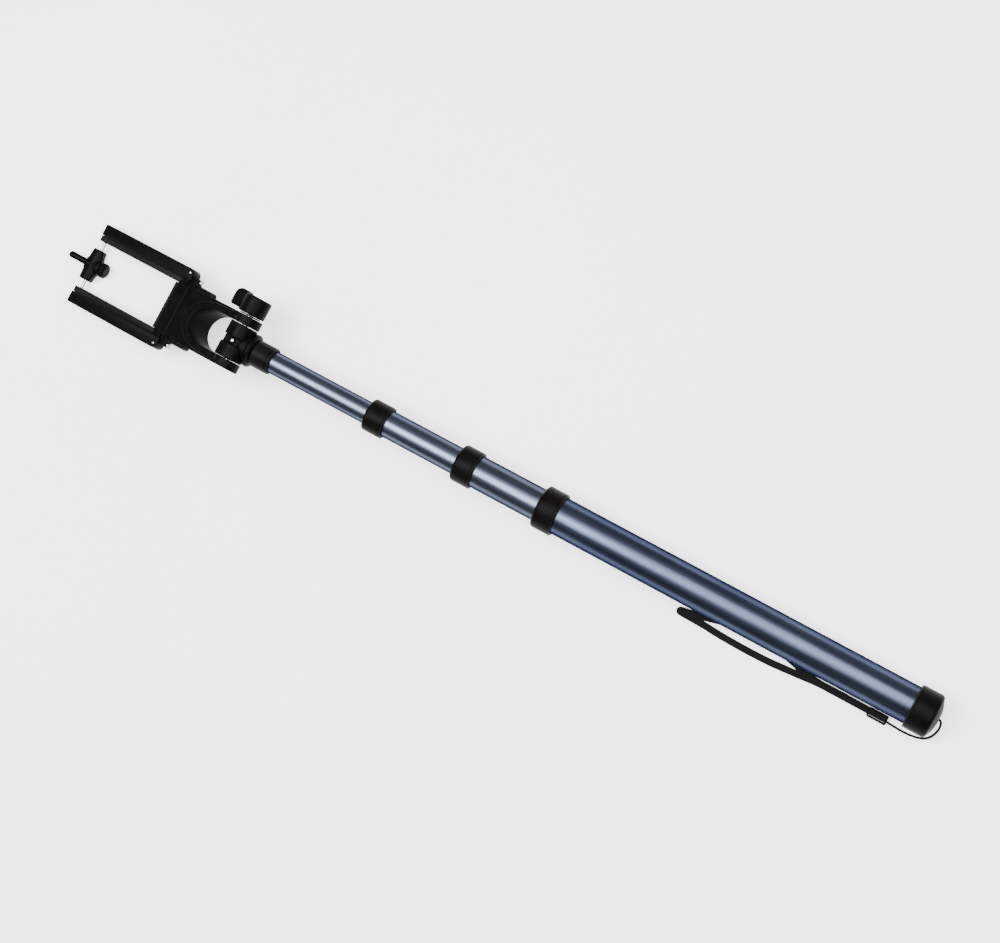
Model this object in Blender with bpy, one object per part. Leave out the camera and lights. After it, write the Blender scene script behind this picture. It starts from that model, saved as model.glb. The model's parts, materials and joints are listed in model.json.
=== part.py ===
"""A telescoping selfie stick lying on a table.

The pole is drawn along its own X axis, from the butt (x = 0) to the pivot, with +Y on the strap's side.
The head is drawn in its own frame on the pivot: X along the head, Y along the pivot, Z out of its face.
Two empties then tip the head back and lay the whole stick on the table, on its cap and its two rails.
"""

import math

import bmesh
import bpy
from mathutils import Matrix, Vector

# All sizes are in metres.
GAP = 0.0003  # between pieces that touch or slide
ROUND = 32  # sides of the tubes and collars
HIDDEN = 24  # sides of the round pieces inside the tubes
SMALL = 20  # sides of small round pieces
TINY = 12  # sides of screws and pins
COIL_STEPS = 6  # straight runs in each turn of a spring

# The pole's tubes, from the grip to the head.
TUBE_RADII = (0.0150, 0.0130, 0.0110, 0.0090)
TUBE_WALL = 0.0010
TUBE_NAMES = ("grip", "second", "third", "top")
INNER_TUBE_LENGTH = 0.290
GRIP_START = 0.0055
SOCKET_SEAT = 0.5880  # the top tube's end, inside the head socket

# The collars stand on the mouths of the three outer tubes.
COLLAR_SPANS = ((0.3178, 0.3348), (0.3899, 0.4067), (0.4692, 0.4867))
COLLAR_RADII = (0.0172, 0.0150, 0.0131)
COLLAR_LIP = 0.0030
COLLAR_ROUNDING = 0.0025
SLEEVE_LENGTH = 0.0160
BUSH_HEAD = 0.0060
BUSH_STEM = 0.0080
BUSH_BORE = 0.0040

# The end cap, its plug and the knot in it.
CAP_LENGTH = 0.0217
CAP_RADIUS = 0.0174
CAP_FLAT = 0.0045
CAP_DOME_RADIUS = 0.0320
CAP_SHOULDER = 0.0150
CAP_FLOOR = 0.0052
CAP_STRAIGHT = 0.0062  # where the cap's straight side begins
CORD_HOLE = 0.0014
PLUG_END = 0.0180
KNOT_POCKET = 0.0035
KNOT_RADIUS = 0.0026
KNOT_X = 0.0092

# The head socket, its flange and the pivot barrel.
SOCKET_SPAN = (0.5734, 0.5900)
SOCKET_RADIUS = 0.01085
NECK_RADIUS = 0.0070
NECK_START = 0.5800
FLANGE_SPAN = (0.5903, 0.5958)
FLANGE_RADIUS = 0.01385
PIVOT_X = 0.6078
BARREL_RADIUS = 0.0116
BARREL_HALF = 0.0146
BARREL_SPLIT = 0.0002
BOLT_RADIUS = 0.0025

# The tension knob, on the side away from the strap.
KNOB_INNER = -0.0239
KNOB_OUTER = -0.0388
KNOB_RADIUS = 0.0112
WING_REACH = 0.0208
WING_HALF = 0.0042
WING_INNER = -0.0254
WING_OUTER = -0.0403
INSERT_RADIUS = 0.0046
INSERT_END = -0.0312

# The yoke: distances run from the pivot, along the head.
HEAD_TIP_BACK = math.radians(15)
YOKE_INNER = 0.0150
YOKE_OUTER = 0.0223
YOKE_DEPTH = 0.0120
YOKE_END = 0.0570
SLOT_BEND = 0.0200
SLOT_END = 0.0350
SLOT_FLARE_END = 0.0411  # the slot's end on the top face
HEAD_BLOCK_DEPTH = 0.0100

# The latch buttons in the yoke's sides.
BUTTON_SPAN = (0.0390, 0.0522)
BUTTON_HALF = 0.0050
BUTTON_SEAT = 0.0195
BUTTON_FACE = 0.0253
POCKET_FLOOR = 0.0170

# The cradle: its base, ledge and rails.
BASE_START = 0.0573
BASE_END = 0.0692
LEDGE_FACE = 0.0725
LEDGE_DEPTH = 0.0080
LEDGE_HALF = 0.0202
LUG_START = 0.0557
LUG_END = 0.0616
LUG_OUTER = 0.0300
LUG_HALF = 0.0042
RAIL_START = 0.0620
RAIL_TIP = 0.1595
RAIL_INNER = 0.0256
RAIL_OUTER = 0.0350
RAIL_HALF = 0.0060
RAIL_CORNER = 0.0045
CHANNEL_START = 0.0640
CHANNEL_OUTER = 0.0326
CHANNEL_HALF = 0.0044
PIN_PLACE = (0.0656, 0.0314)
PIN_RADIUS = 0.0010
SCREW_LINE = 0.0278  # how far out the rails' screws are
SPRING_LINE = 0.0290

# The sliding jaw and the camera screw on it.
SLIDER_INNER = 0.0206
SLIDER_HALF = 0.0056
SLIDER_START = 0.0695
SLIDER_TIP = 0.1586
TONGUE_START = 0.0840
ROD_AT = 0.1565
ROD_RADIUS = 0.0012
ROD_END = 0.0252
ROD_START = 0.0041
HOLDER_TIP_UP = math.radians(8)
HUB_HALF = 0.0135
HUB_RADIUS = 0.0055
SEAT_REACH = 0.0063  # the rest are measured from the rods
SEAT_RADIUS = 0.0053
STUD_REACH = 0.0240
STUD_RADIUS = 0.0028
STUD_SUNK = 0.0012  # how deep the thread's root sits in the seat
SHANK_RADIUS = 0.0020
THUMB_START = -0.0134
THUMB_END = -0.0080
THUMB_RADIUS = 0.0062

# The wrist strap, on the table: x from the butt, y from the pole's line, z from the table.
CORD_RADIUS = 0.0010
CLASP_SPAN = (0.0328, 0.0486)
CLASP_MIDDLE = 0.0193
CLASP_HALF_WIDTH = 0.0039
CLASP_HEIGHT = 0.0050
WEB_WIDTH = 0.0056
WEB_THICKNESS = 0.0014
CORD_ROUTE = (
    (0.0060, 0.0000, 0.0176),
    (0.0000, 0.0001, 0.0174),
    (-0.0022, 0.0016, 0.0166),
    (-0.0030, 0.0056, 0.0142),
    (-0.0022, 0.0100, 0.0112),
    (-0.0004, 0.0138, 0.0082),
    (0.0030, 0.0172, 0.0052),
    (0.0080, 0.0193, 0.0030),
    (0.0140, 0.0203, 0.0021),
    (0.0200, 0.0206, 0.0018),
    (0.0260, 0.0204, 0.0020),
    (0.0325, 0.0200, 0.0024),
)
WEB_ROUTE = (
    (0.0489, 0.0186, 0.0012),
    (0.0700, 0.0184, 0.0010),
    (0.0900, 0.0188, 0.0010),
    (0.1100, 0.0206, 0.0010),
    (0.1300, 0.0222, 0.0010),
    (0.1500, 0.0226, 0.0010),
    (0.1700, 0.0222, 0.0010),
    (0.1850, 0.0213, 0.0010),
    (0.1970, 0.0210, 0.0010),
    (0.2050, 0.0208, 0.0014),
    (0.2072, 0.0202, 0.0026),
    (0.2050, 0.0192, 0.0038),
    (0.1970, 0.0178, 0.0040),
    (0.1850, 0.0150, 0.0036),
    (0.1700, 0.0116, 0.0034),
    (0.1500, 0.0096, 0.0034),
    (0.1300, 0.0104, 0.0034),
    (0.1150, 0.0134, 0.0034),
    (0.1020, 0.0166, 0.0034),
    (0.0900, 0.0184, 0.0034),
    (0.0700, 0.0186, 0.0034),
    (0.0489, 0.0186, 0.0036),
)

BLACK = ((0.012, 0.012, 0.012), 0.45, 0.0)
BLACK_SATIN = ((0.020, 0.019, 0.018), 0.38, 0.0)
RUBBER = ((0.018, 0.018, 0.018), 0.80, 0.0)
ANODISED = ((0.120, 0.150, 0.240), 0.30, 0.9)
ANODISED_DARK = ((0.060, 0.070, 0.140), 0.28, 0.9)
STEEL = ((0.600, 0.600, 0.610), 0.25, 1.0)
CHROME = ((0.820, 0.820, 0.830), 0.08, 1.0)
BRASS = ((0.620, 0.450, 0.180), 0.30, 1.0)
NYLON = ((0.550, 0.550, 0.520), 0.55, 0.0)
WEBBING = ((0.010, 0.010, 0.011), 0.90, 0.0)


# Building blocks


def new_empty(name, location, turn_about_y=0.0, parent=None):
    empty = bpy.data.objects.new(name, None)
    bpy.context.collection.objects.link(empty)
    empty.location = location
    empty.rotation_euler = (0.0, turn_about_y, 0.0)
    empty.parent = parent
    return empty


def to_object(name, bm):
    """An object from a bmesh, with its faces turned outward."""
    bmesh.ops.recalc_face_normals(bm, faces=bm.faces)
    mesh = bpy.data.meshes.new(name)
    bm.to_mesh(mesh)
    bm.free()
    obj = bpy.data.objects.new(name, mesh)
    bpy.context.collection.objects.link(obj)
    return obj


def finish(obj, parent, material, smooth=True):
    """Parents a piece, gives it its material and shades its round faces smooth."""
    obj.parent = parent
    colour, roughness, metallic = material
    mat = bpy.data.materials.new(obj.name)
    mat.use_nodes = True
    shader = mat.node_tree.nodes["Principled BSDF"]
    shader.inputs["Base Color"].default_value = (*colour, 1.0)
    shader.inputs["Roughness"].default_value = roughness
    shader.inputs["Metallic"].default_value = metallic
    obj.data.materials.clear()
    obj.data.materials.append(mat)
    if smooth:
        obj.data.shade_smooth()
        obj.data.set_sharp_from_angle(angle=math.radians(35))
    return obj


def arc(centre, radii, start, end, steps):
    """Points of an elliptical arc, from start to end in degrees."""
    angles = [math.radians(start + (end - start) * i / steps) for i in range(steps + 1)]
    return [(centre[0] + radii[0] * math.cos(a), centre[1] + radii[1] * math.sin(a)) for a in angles]


def along(axis):
    """The rotation that turns +X onto the named axis."""
    if axis == "X":
        return Matrix.Identity(4)
    if axis == "Y":
        return Matrix.Rotation(math.pi / 2, 4, "Z")
    return Matrix.Rotation(-math.pi / 2, 4, "Y")


def turned(name, profile, sides=ROUND, axis="X", at=(0.0, 0.0, 0.0)):
    """A solid of revolution. The closed profile holds (distance along the axis, radius)."""
    bm = bmesh.new()
    rings = []
    for x, r in profile:
        if r == 0.0:
            rings.append([bm.verts.new((x, 0.0, 0.0))])
            continue
        angles = [2 * math.pi * i / sides for i in range(sides)]
        rings.append([bm.verts.new((x, r * math.cos(a), r * math.sin(a))) for a in angles])
    for one, two in zip(rings, rings[1:] + rings[:1]):
        if len(one) == 1 and len(two) == 1:
            continue
        for i in range(sides):
            j = (i + 1) % sides
            corners = [one[i % len(one)], one[j % len(one)], two[j % len(two)], two[i % len(two)]]
            bm.faces.new(list(dict.fromkeys(corners)))
    bm.transform(Matrix.Translation(at) @ along(axis))
    return to_object(name, bm)


def rod(name, start, end, radius, sides=SMALL, axis="X", at=(0.0, 0.0, 0.0)):
    profile = [(start, 0.0), (start, radius), (end, radius), (end, 0.0)]
    return turned(name, profile, sides, axis, at)


def ring(name, start, end, inner, outer, sides=SMALL, axis="X", at=(0.0, 0.0, 0.0)):
    profile = [(start, inner), (start, outer), (end, outer), (end, inner)]
    return turned(name, profile, sides, axis, at)


def box(name, low, high, bevel=0.0):
    bm = bmesh.new()
    bmesh.ops.create_cube(bm, size=1.0)
    size = Vector(high) - Vector(low)
    middle = (Vector(high) + Vector(low)) / 2
    bm.transform(Matrix.Translation(middle) @ Matrix.Diagonal((*size, 1.0)))
    if bevel:
        bmesh.ops.bevel(bm, geom=bm.edges[:], offset=bevel, segments=2, profile=0.5, affect="EDGES")
    return to_object(name, bm)


def extruded(name, outline, low, high, axis="Z", bevel=0.0):
    """An outline given a thickness. Its points are (x, y) along Z, or (x, z) along Y."""
    bm = bmesh.new()
    if axis == "Z":
        places = [(p[0], p[1], low) for p in outline]
        push = Vector((0.0, 0.0, high - low))
    else:
        places = [(p[0], low, p[1]) for p in outline]
        push = Vector((0.0, high - low, 0.0))
    face = bm.faces.new([bm.verts.new(p) for p in places])
    new = bmesh.ops.extrude_face_region(bm, geom=[face])
    bmesh.ops.translate(bm, verts=[v for v in new["geom"] if isinstance(v, bmesh.types.BMVert)], vec=push)
    if bevel:
        rims = [e for e in bm.edges if len({round(v.co[2 if axis == "Z" else 1], 7) for v in e.verts}) == 1]
        bmesh.ops.bevel(bm, geom=rims, offset=bevel, segments=1, affect="EDGES")
    return to_object(name, bm)


def tapered(name, lower, upper, low, high):
    """A solid between two outlines with as many points, at heights low and high."""
    bm = bmesh.new()
    floor = [bm.verts.new((*p, low)) for p in lower]
    roof = [bm.verts.new((*p, high)) for p in upper]
    for k in range(len(floor)):
        m = (k + 1) % len(floor)
        bm.faces.new((floor[k], floor[m], roof[m], roof[k]))
    bm.faces.new(floor)
    bm.faces.new(roof)
    bmesh.ops.triangulate(bm, faces=bm.faces[:])
    return to_object(name, bm)


def combine(obj, others, operation):
    """Applies a Boolean with each other object in turn and removes them."""
    for other in others:
        modifier = obj.modifiers.new("combine", "BOOLEAN")
        modifier.operation = operation
        modifier.solver = "EXACT"
        modifier.object = other
        bpy.context.view_layer.update()
        evaluated = obj.evaluated_get(bpy.context.evaluated_depsgraph_get())
        mesh = bpy.data.meshes.new_from_object(evaluated)
        obj.modifiers.clear()
        obj.data = mesh
        bpy.data.objects.remove(other)
    return obj


def cut(obj, *cutters):
    return combine(obj, cutters, "DIFFERENCE")


def join(obj, *others):
    return combine(obj, others, "UNION")


def coil(name, start, end, middle, radius, wire, turns, axis="X"):
    """A plain spring: a square wire wound on a helix."""
    steps = turns * COIL_STEPS
    sections = []
    bm = bmesh.new()
    for i in range(steps + 1):
        angle = 2 * math.pi * turns * i / steps
        x = start + wire + (end - start - 2 * wire) * i / steps
        ring_points = []
        for side in range(4):
            turn = math.pi / 2 * side
            r = radius + wire * math.cos(turn)
            place = (x + wire * math.sin(turn), r * math.cos(angle), r * math.sin(angle))
            ring_points.append(bm.verts.new(place))
        sections.append(ring_points)
    for one, two in zip(sections, sections[1:]):
        for side in range(4):
            other = (side + 1) % 4
            bm.faces.new((one[side], one[other], two[other], two[side]))
    bm.faces.new(sections[0])
    bm.faces.new(sections[-1])
    bm.transform(Matrix.Translation(middle) @ along(axis))
    return to_object(name, bm)


def smooth_curve(points, per_span):
    """Points of a Catmull-Rom curve through the given points."""
    points = [Vector(p) for p in points]
    padded = [2 * points[0] - points[1]] + points + [2 * points[-1] - points[-2]]
    result = []
    for i in range(len(points) - 1):
        a, b, c, d = padded[i : i + 4]
        for k in range(per_span):
            t = k / per_span
            bend = (2 * a - 5 * b + 4 * c - d) * t * t + (3 * b - a - 3 * c + d) * t**3
            result.append((2 * b + (c - a) * t + bend) / 2)
    return result + [points[-1]]


def ribbon(name, points, width, thickness):
    """A flat strap along a line, wide across its run and thin upward."""
    bm = bmesh.new()
    sections = []
    for i, point in enumerate(points):
        ahead = points[min(i + 1, len(points) - 1)] - points[max(i - 1, 0)]
        level = Vector((ahead.x, ahead.y, 0.0))
        side = level.normalized().cross(Vector((0.0, 0.0, 1.0))) if level.length > 1e-7 else side
        if sections and side.dot(last_side) < 0:
            side = -side
        last_side = side
        up = side.cross(ahead).normalized()
        corners = []
        for a, b in ((-1, -1), (1, -1), (1, 1), (-1, 1)):
            corners.append(bm.verts.new(point + side * a * width / 2 + up * b * thickness / 2))
        sections.append(corners)
    for one, two in zip(sections, sections[1:]):
        for k in range(4):
            m = (k + 1) % 4
            bm.faces.new((one[k], one[m], two[m], two[k]))
    bm.faces.new(sections[0])
    bm.faces.new(sections[-1])
    return to_object(name, bm)


# The pole


def tube_ends():
    """Where each tube starts and ends along the pole."""
    ends = [span[1] - COLLAR_LIP - GAP for span in COLLAR_SPANS] + [SOCKET_SEAT]
    starts = [GRIP_START] + [end - INNER_TUBE_LENGTH for end in ends[1:]]
    return list(zip(starts, ends))


def make_tubes(pole):
    for name, radius, (start, end) in zip(TUBE_NAMES, TUBE_RADII, tube_ends()):
        tube = ring(f"{name}_tube", start, end, radius - TUBE_WALL, radius, ROUND)
        finish(tube, pole, ANODISED_DARK if name == "grip" else ANODISED)


def make_collars(pole):
    for i, (start, end) in enumerate(COLLAR_SPANS):
        radius = COLLAR_RADII[i]
        bore = TUBE_RADII[i] + GAP
        mouth = TUBE_RADII[i + 1] + GAP
        edge = 0.0004
        profile = [(start, bore), (start, radius - edge), (start + edge, radius)]
        corner = (end - COLLAR_ROUNDING, radius - COLLAR_ROUNDING)
        profile += arc(corner, (COLLAR_ROUNDING, COLLAR_ROUNDING), 90, 0, 4)
        profile += [(end, mouth), (end - COLLAR_LIP, mouth), (end - COLLAR_LIP, bore)]
        finish(turned(f"{TUBE_NAMES[i]}_collar", profile), pole, BLACK)


def make_friction_sleeves(pole):
    for i in range(3):
        end = tube_ends()[i][1]
        inner = TUBE_RADII[i + 1] + GAP
        outer = TUBE_RADII[i] - TUBE_WALL - GAP
        name = f"{TUBE_NAMES[i]}_friction_sleeve"
        finish(ring(name, end - SLEEVE_LENGTH, end, inner, outer, HIDDEN), pole, NYLON)


def make_guide_bushes(pole):
    """A stepped plug in the hidden end of each inner tube, whose head runs in the tube around it."""
    for i in range(1, 4):
        start = tube_ends()[i][0]
        head = TUBE_RADII[i - 1] - TUBE_WALL - GAP
        stem = TUBE_RADII[i] - TUBE_WALL - GAP
        back = start - GAP - BUSH_HEAD
        step = start - GAP
        tip = start + BUSH_STEM
        profile = [(back, BUSH_BORE), (back, head), (step, head), (step, stem), (tip, stem), (tip, BUSH_BORE)]
        finish(turned(f"{TUBE_NAMES[i]}_guide_bush", profile, HIDDEN), pole, NYLON)


def make_end_cap(pole):
    profile = [(0.0, CORD_HOLE), (0.0, CAP_FLAT)]
    for i in range(1, 4):
        r = CAP_FLAT + (CAP_SHOULDER - CAP_FLAT) * i / 4
        profile.append(((r * r - CAP_FLAT**2) / (2 * CAP_DOME_RADIUS), r))
    rim = (CAP_SHOULDER**2 - CAP_FLAT**2) / (2 * CAP_DOME_RADIUS)
    profile += arc((CAP_STRAIGHT, CAP_SHOULDER), (CAP_STRAIGHT - rim, CAP_RADIUS - CAP_SHOULDER), 180, 90, 4)
    bore = TUBE_RADII[0] + GAP
    profile += [(CAP_LENGTH - 0.0006, CAP_RADIUS), (CAP_LENGTH, CAP_RADIUS - 0.0006)]
    profile += [(CAP_LENGTH, bore), (CAP_FLOOR, bore), (CAP_FLOOR, CORD_HOLE)]
    finish(turned("end_cap", profile), pole, BLACK_SATIN)


def make_end_plug(pole):
    radius = TUBE_RADII[0] - TUBE_WALL - GAP
    pocket_end = KNOT_X + KNOT_RADIUS + 2 * GAP
    profile = [(GRIP_START, KNOT_POCKET), (GRIP_START, radius), (PLUG_END, radius), (PLUG_END, 0.0)]
    profile += [(pocket_end, 0.0), (pocket_end, KNOT_POCKET)]
    finish(turned("end_plug", profile, HIDDEN), pole, NYLON)


def make_head_socket(pole):
    start, end = SOCKET_SPAN
    bore = TUBE_RADII[3] + GAP
    neck = NECK_RADIUS + GAP
    profile = [(start, bore), (start, SOCKET_RADIUS - 0.0004), (start + 0.0004, SOCKET_RADIUS)]
    profile += [(end, SOCKET_RADIUS), (end, neck), (SOCKET_SEAT + GAP, neck), (SOCKET_SEAT + GAP, bore)]
    finish(turned("head_socket", profile), pole, BLACK)


def make_flange(pole):
    start, end = FLANGE_SPAN
    half = (end - start) / 2
    profile = [(start, NECK_RADIUS + GAP)]
    profile += arc((start + half, FLANGE_RADIUS - half), (half, half), 180, 0, 5)
    profile += [(end, NECK_RADIUS + GAP)]
    finish(turned("socket_flange", profile), pole, BLACK)


# The pivot


def make_pivot_shells(pole):
    """Two halves of a barrel on a neck, split on the pole's middle plane."""
    centre = (PIVOT_X, 0.0, 0.0)
    far = 0.0300
    for name, low, high in (("left", BARREL_SPLIT, far), ("right", -far, -BARREL_SPLIT)):
        shell = rod(f"pivot_shell_{name}", -BARREL_HALF, BARREL_HALF, BARREL_RADIUS, 32, "Y", centre)
        join(shell, rod("neck", NECK_START, PIVOT_X - 0.0050, NECK_RADIUS, SMALL))
        half = box("half", (PIVOT_X - far, low, -far), (PIVOT_X + far, high, far))
        combine(shell, [half], "INTERSECT")
        bore = rod("bore", -far, far, BOLT_RADIUS + GAP, SMALL, "Y", centre)
        screw_hole = rod("screw_hole", 0.0015, 0.0100, 0.0011, TINY, "Z", centre)
        recess = rod("recess", 0.0094, 0.0130, 0.0019, SMALL, "Z", centre)
        cut(shell, bore, screw_hole, recess)
        finish(shell, pole, BLACK)


def make_shell_screw(pole):
    """A small screw in the barrel's top, between its halves, that keeps the bolt from turning."""
    profile = [(0.0031, 0.0), (0.0031, 0.0008), (0.0097, 0.0008), (0.0097, 0.0015), (0.0110, 0.0015)]
    profile += [(0.0110, 0.0006), (0.0103, 0.0)]
    screw = turned("shell_screw", profile, TINY, "Z", (PIVOT_X, 0.0, 0.0))
    finish(screw, pole, STEEL)


def make_tension_bolt(head):
    """A bolt along the pivot. Its square head sits in the yoke's arm."""
    end = INSERT_END
    bolt = rod("tension_bolt", end, 0.0185, BOLT_RADIUS, SMALL, "Y")
    join(bolt, box("square", (-0.0040, 0.0177, -0.0040), (0.0040, 0.0207, 0.0040)))
    finish(bolt, head, STEEL)


def make_tension_washer(head):
    inner = BOLT_RADIUS + GAP
    finish(ring("tension_washer", -0.0236, -0.0226, inner, 0.0060, SMALL, "Y"), head, STEEL)


def make_tension_knob(head):
    """A round hub with one rounded wing that points along the head."""
    edge = 0.0010
    bottom = KNOB_OUTER
    profile = [(KNOB_INNER, 0.0), (KNOB_INNER, KNOB_RADIUS - edge), (KNOB_INNER - edge, KNOB_RADIUS)]
    profile += [(bottom + edge, KNOB_RADIUS), (bottom, KNOB_RADIUS - edge), (bottom, 0.0)]
    knob = turned("tension_knob", profile, 32, "Y")
    corner = 0.0055
    wing_outline = [(0.0, WING_INNER), (WING_REACH, WING_INNER)]
    wing_outline += arc((WING_REACH - corner, WING_OUTER + corner), (corner, corner), 0, -90, 5)
    wing_outline += [(0.0080, WING_OUTER), (0.0050, WING_OUTER + 0.0040), (0.0, WING_OUTER + 0.0040)]
    wing = extruded("wing", wing_outline, -WING_HALF, WING_HALF, "Z")
    join(knob, wing)
    cut(knob, rod("insert_bore", INSERT_END - 0.0006, 0.0, INSERT_RADIUS + GAP, SMALL, "Y"))
    finish(knob, head, BLACK)
    insert = ring("knob_insert", INSERT_END, -0.0243, BOLT_RADIUS + GAP, INSERT_RADIUS, SMALL, "Y")
    finish(insert, head, BRASS)


# The head


def make_yoke(head):
    """A fork that straddles the barrel, with a long round-ended slot through it."""
    slots = []
    for end in (SLOT_END, SLOT_FLARE_END):
        bend = arc((SLOT_BEND, 0.0), (end - SLOT_BEND, YOKE_INNER), 90, -90, 15)
        slots.append([(-0.0200, YOKE_INNER)] + bend + [(-0.0200, -YOKE_INNER)])
    side = arc((0.0, 0.0), (BARREL_RADIUS, BARREL_RADIUS), 270, 90, 12)
    side += [(0.0100, YOKE_DEPTH), (0.0440, YOKE_DEPTH), (YOKE_END, HEAD_BLOCK_DEPTH)]
    side += [(YOKE_END, -HEAD_BLOCK_DEPTH), (0.0440, -YOKE_DEPTH), (0.0100, -YOKE_DEPTH)]
    yoke = extruded("yoke", side, -YOKE_OUTER, YOKE_OUTER, "Y")
    cut(yoke, tapered("slot", *slots, -YOKE_DEPTH - 0.0010, YOKE_DEPTH + 0.0010))
    cut(yoke, rod("bolt_hole", -0.0300, 0.0180, BOLT_RADIUS + GAP, SMALL, "Y"))
    square = 0.0043
    cut(yoke, box("head_pocket", (-square, 0.0174, -square), (square, 0.0300, square)))
    for sign in (-1, 1):
        near, far = sorted((sign * POCKET_FLOOR, sign * 0.0300))
        low = (BUTTON_SPAN[0] - GAP, near, -BUTTON_HALF - GAP)
        high = (BUTTON_SPAN[1] + GAP, far, BUTTON_HALF + GAP)
        cut(yoke, box("button_pocket", low, high))
    finish(yoke, head, BLACK)


def make_latch_buttons(head):
    """A ribbed button in each side of the yoke, over a small spring."""
    middle = sum(BUTTON_SPAN) / 2
    for name, sign in (("left", 1), ("right", -1)):
        near, far = sorted((sign * BUTTON_SEAT, sign * (BUTTON_FACE - 0.0008)))
        low = (BUTTON_SPAN[0], near, -BUTTON_HALF)
        high = (BUTTON_SPAN[1], far, BUTTON_HALF)
        button = box(f"latch_button_{name}", low, high)
        for i in range(4):
            x = BUTTON_SPAN[0] + 0.0018 + 0.0032 * i
            near, far = sorted((sign * (BUTTON_FACE - 0.0020), sign * BUTTON_FACE))
            join(button, box("rib", (x - 0.0008, near, -0.0042), (x + 0.0008, far, 0.0042)))
        start, end = sorted((sign * 0.0150, sign * 0.0230))
        cut(button, rod("spring_bore", start, end, 0.0027, TINY, "Y", (middle, 0.0, 0.0)))
        finish(button, head, BLACK)
        start, end = sorted((sign * (POCKET_FLOOR + GAP), sign * 0.0215))
        spring = coil(f"latch_spring_{name}", start, end, (middle, 0.0, 0.0), 0.0018, 0.00025, 4, "Y")
        finish(spring, head, STEEL)


def make_cradle_base(head):
    """The block between the rails, with a lug behind each rail."""
    neck = box("cradle_base", (BASE_START, -YOKE_OUTER, -0.0090), (BASE_END, YOKE_OUTER, 0.0090))
    bar = RAIL_INNER - GAP
    join(neck, box("bar", (RAIL_START, -bar, -0.0070), (BASE_END, bar, 0.0070)))
    for sign in (-1, 1):
        near, far = sorted((sign * 0.0200, sign * LUG_OUTER))
        join(neck, box("lug", (BASE_START + GAP, near, -LUG_HALF), (LUG_END, far, LUG_HALF)))
        near, far = sorted((sign * (YOKE_OUTER + GAP), sign * LUG_OUTER))
        join(neck, box("ear", (LUG_START, near, -LUG_HALF), (LUG_END - 0.0010, far, LUG_HALF)))
        cut(neck, rod("screw_hole", 0.0500, 0.0700, 0.0012, TINY, "X", (0.0, sign * SCREW_LINE, 0.0)))
    finish(neck, head, BLACK)
    low = (BASE_END + GAP, -LEDGE_HALF, -LEDGE_DEPTH)
    high = (LEDGE_FACE, LEDGE_HALF, LEDGE_DEPTH)
    finish(box("ledge_plate", low, high, 0.0005), head, RUBBER)


def make_cradle_screws(head):
    for name, sign in (("left", 1), ("right", -1)):
        profile = [(0.0542, 0.0), (0.0542, 0.0019), (0.0554, 0.0019), (0.0554, 0.0009), (0.0638, 0.0009)]
        profile += [(0.0638, 0.0)]
        screw = turned(f"cradle_screw_{name}", profile, TINY, "X", (0.0, sign * SCREW_LINE, 0.0))
        finish(screw, head, STEEL)


def make_rails(head):
    """A channel on each side, open towards the slider and at its tip."""
    for name, sign in (("left", 1), ("right", -1)):
        outline = [(RAIL_TIP, sign * RAIL_INNER), (RAIL_START, sign * RAIL_INNER)]
        centre = (RAIL_START + RAIL_CORNER, sign * (RAIL_OUTER - RAIL_CORNER))
        outline += arc(centre, (RAIL_CORNER, RAIL_CORNER * sign), 180, 90, 5)
        outline += arc((RAIL_TIP - 0.0010, sign * (RAIL_OUTER - 0.0010)), (0.0010, 0.0010 * sign), 90, 0, 2)
        rail = extruded(f"rail_{name}", outline, -RAIL_HALF, RAIL_HALF, "Z", 0.0005)
        near, far = sorted((sign * 0.0200, sign * CHANNEL_OUTER))
        cut(rail, box("channel", (CHANNEL_START, near, -CHANNEL_HALF), (0.1700, far, CHANNEL_HALF)))
        place = (PIN_PLACE[0], sign * PIN_PLACE[1], 0.0)
        cut(rail, rod("pin_hole", -0.0100, 0.0100, PIN_RADIUS + GAP, TINY, "Z", place))
        cut(rail, rod("screw_hole", 0.0600, 0.0650, 0.0012, TINY, "X", (0.0, sign * SCREW_LINE, 0.0)))
        finish(rail, head, BLACK)
        pin = rod(f"rail_pin_{name}", -RAIL_HALF, RAIL_HALF, PIN_RADIUS, TINY, "Z", place)
        finish(pin, head, STEEL)
        spring_place = (0.0, sign * SPRING_LINE, 0.0)
        spring = coil(f"jaw_spring_{name}", 0.0670, TONGUE_START - GAP, spring_place, 0.0022, 0.0004, 6)
        finish(spring, head, STEEL)


def make_sliders(jaw):
    """A strip with a tongue that runs in the rail's channel. The jaw's frame is on the rods."""
    for name, sign in (("left", 1), ("right", -1)):
        strip = RAIL_INNER - GAP
        tongue = CHANNEL_OUTER - GAP
        start = SLIDER_START - ROD_AT
        step = TONGUE_START - ROD_AT
        tip = SLIDER_TIP - ROD_AT
        near, far = sorted((sign * SLIDER_INNER, sign * strip))
        slider = box(f"slider_{name}", (start, near, -SLIDER_HALF), (tip, far, SLIDER_HALF))
        near, far = sorted((sign * (strip - 0.0010), sign * tongue))
        reach = CHANNEL_HALF - GAP
        join(slider, box("tongue", (step, near, -reach), (tip - 0.0004, far, reach)))
        near, far = sorted((sign * 0.0150, sign * (ROD_END + GAP)))
        cut(slider, rod("rod_hole", near, far, ROD_RADIUS + GAP, TINY, "Y"))
        finish(slider, jaw, BLACK)
        near, far = sorted((sign * ROD_START, sign * ROD_END))
        finish(rod(f"cross_rod_{name}", near, far, ROD_RADIUS, TINY, "Y"), jaw, CHROME)


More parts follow.
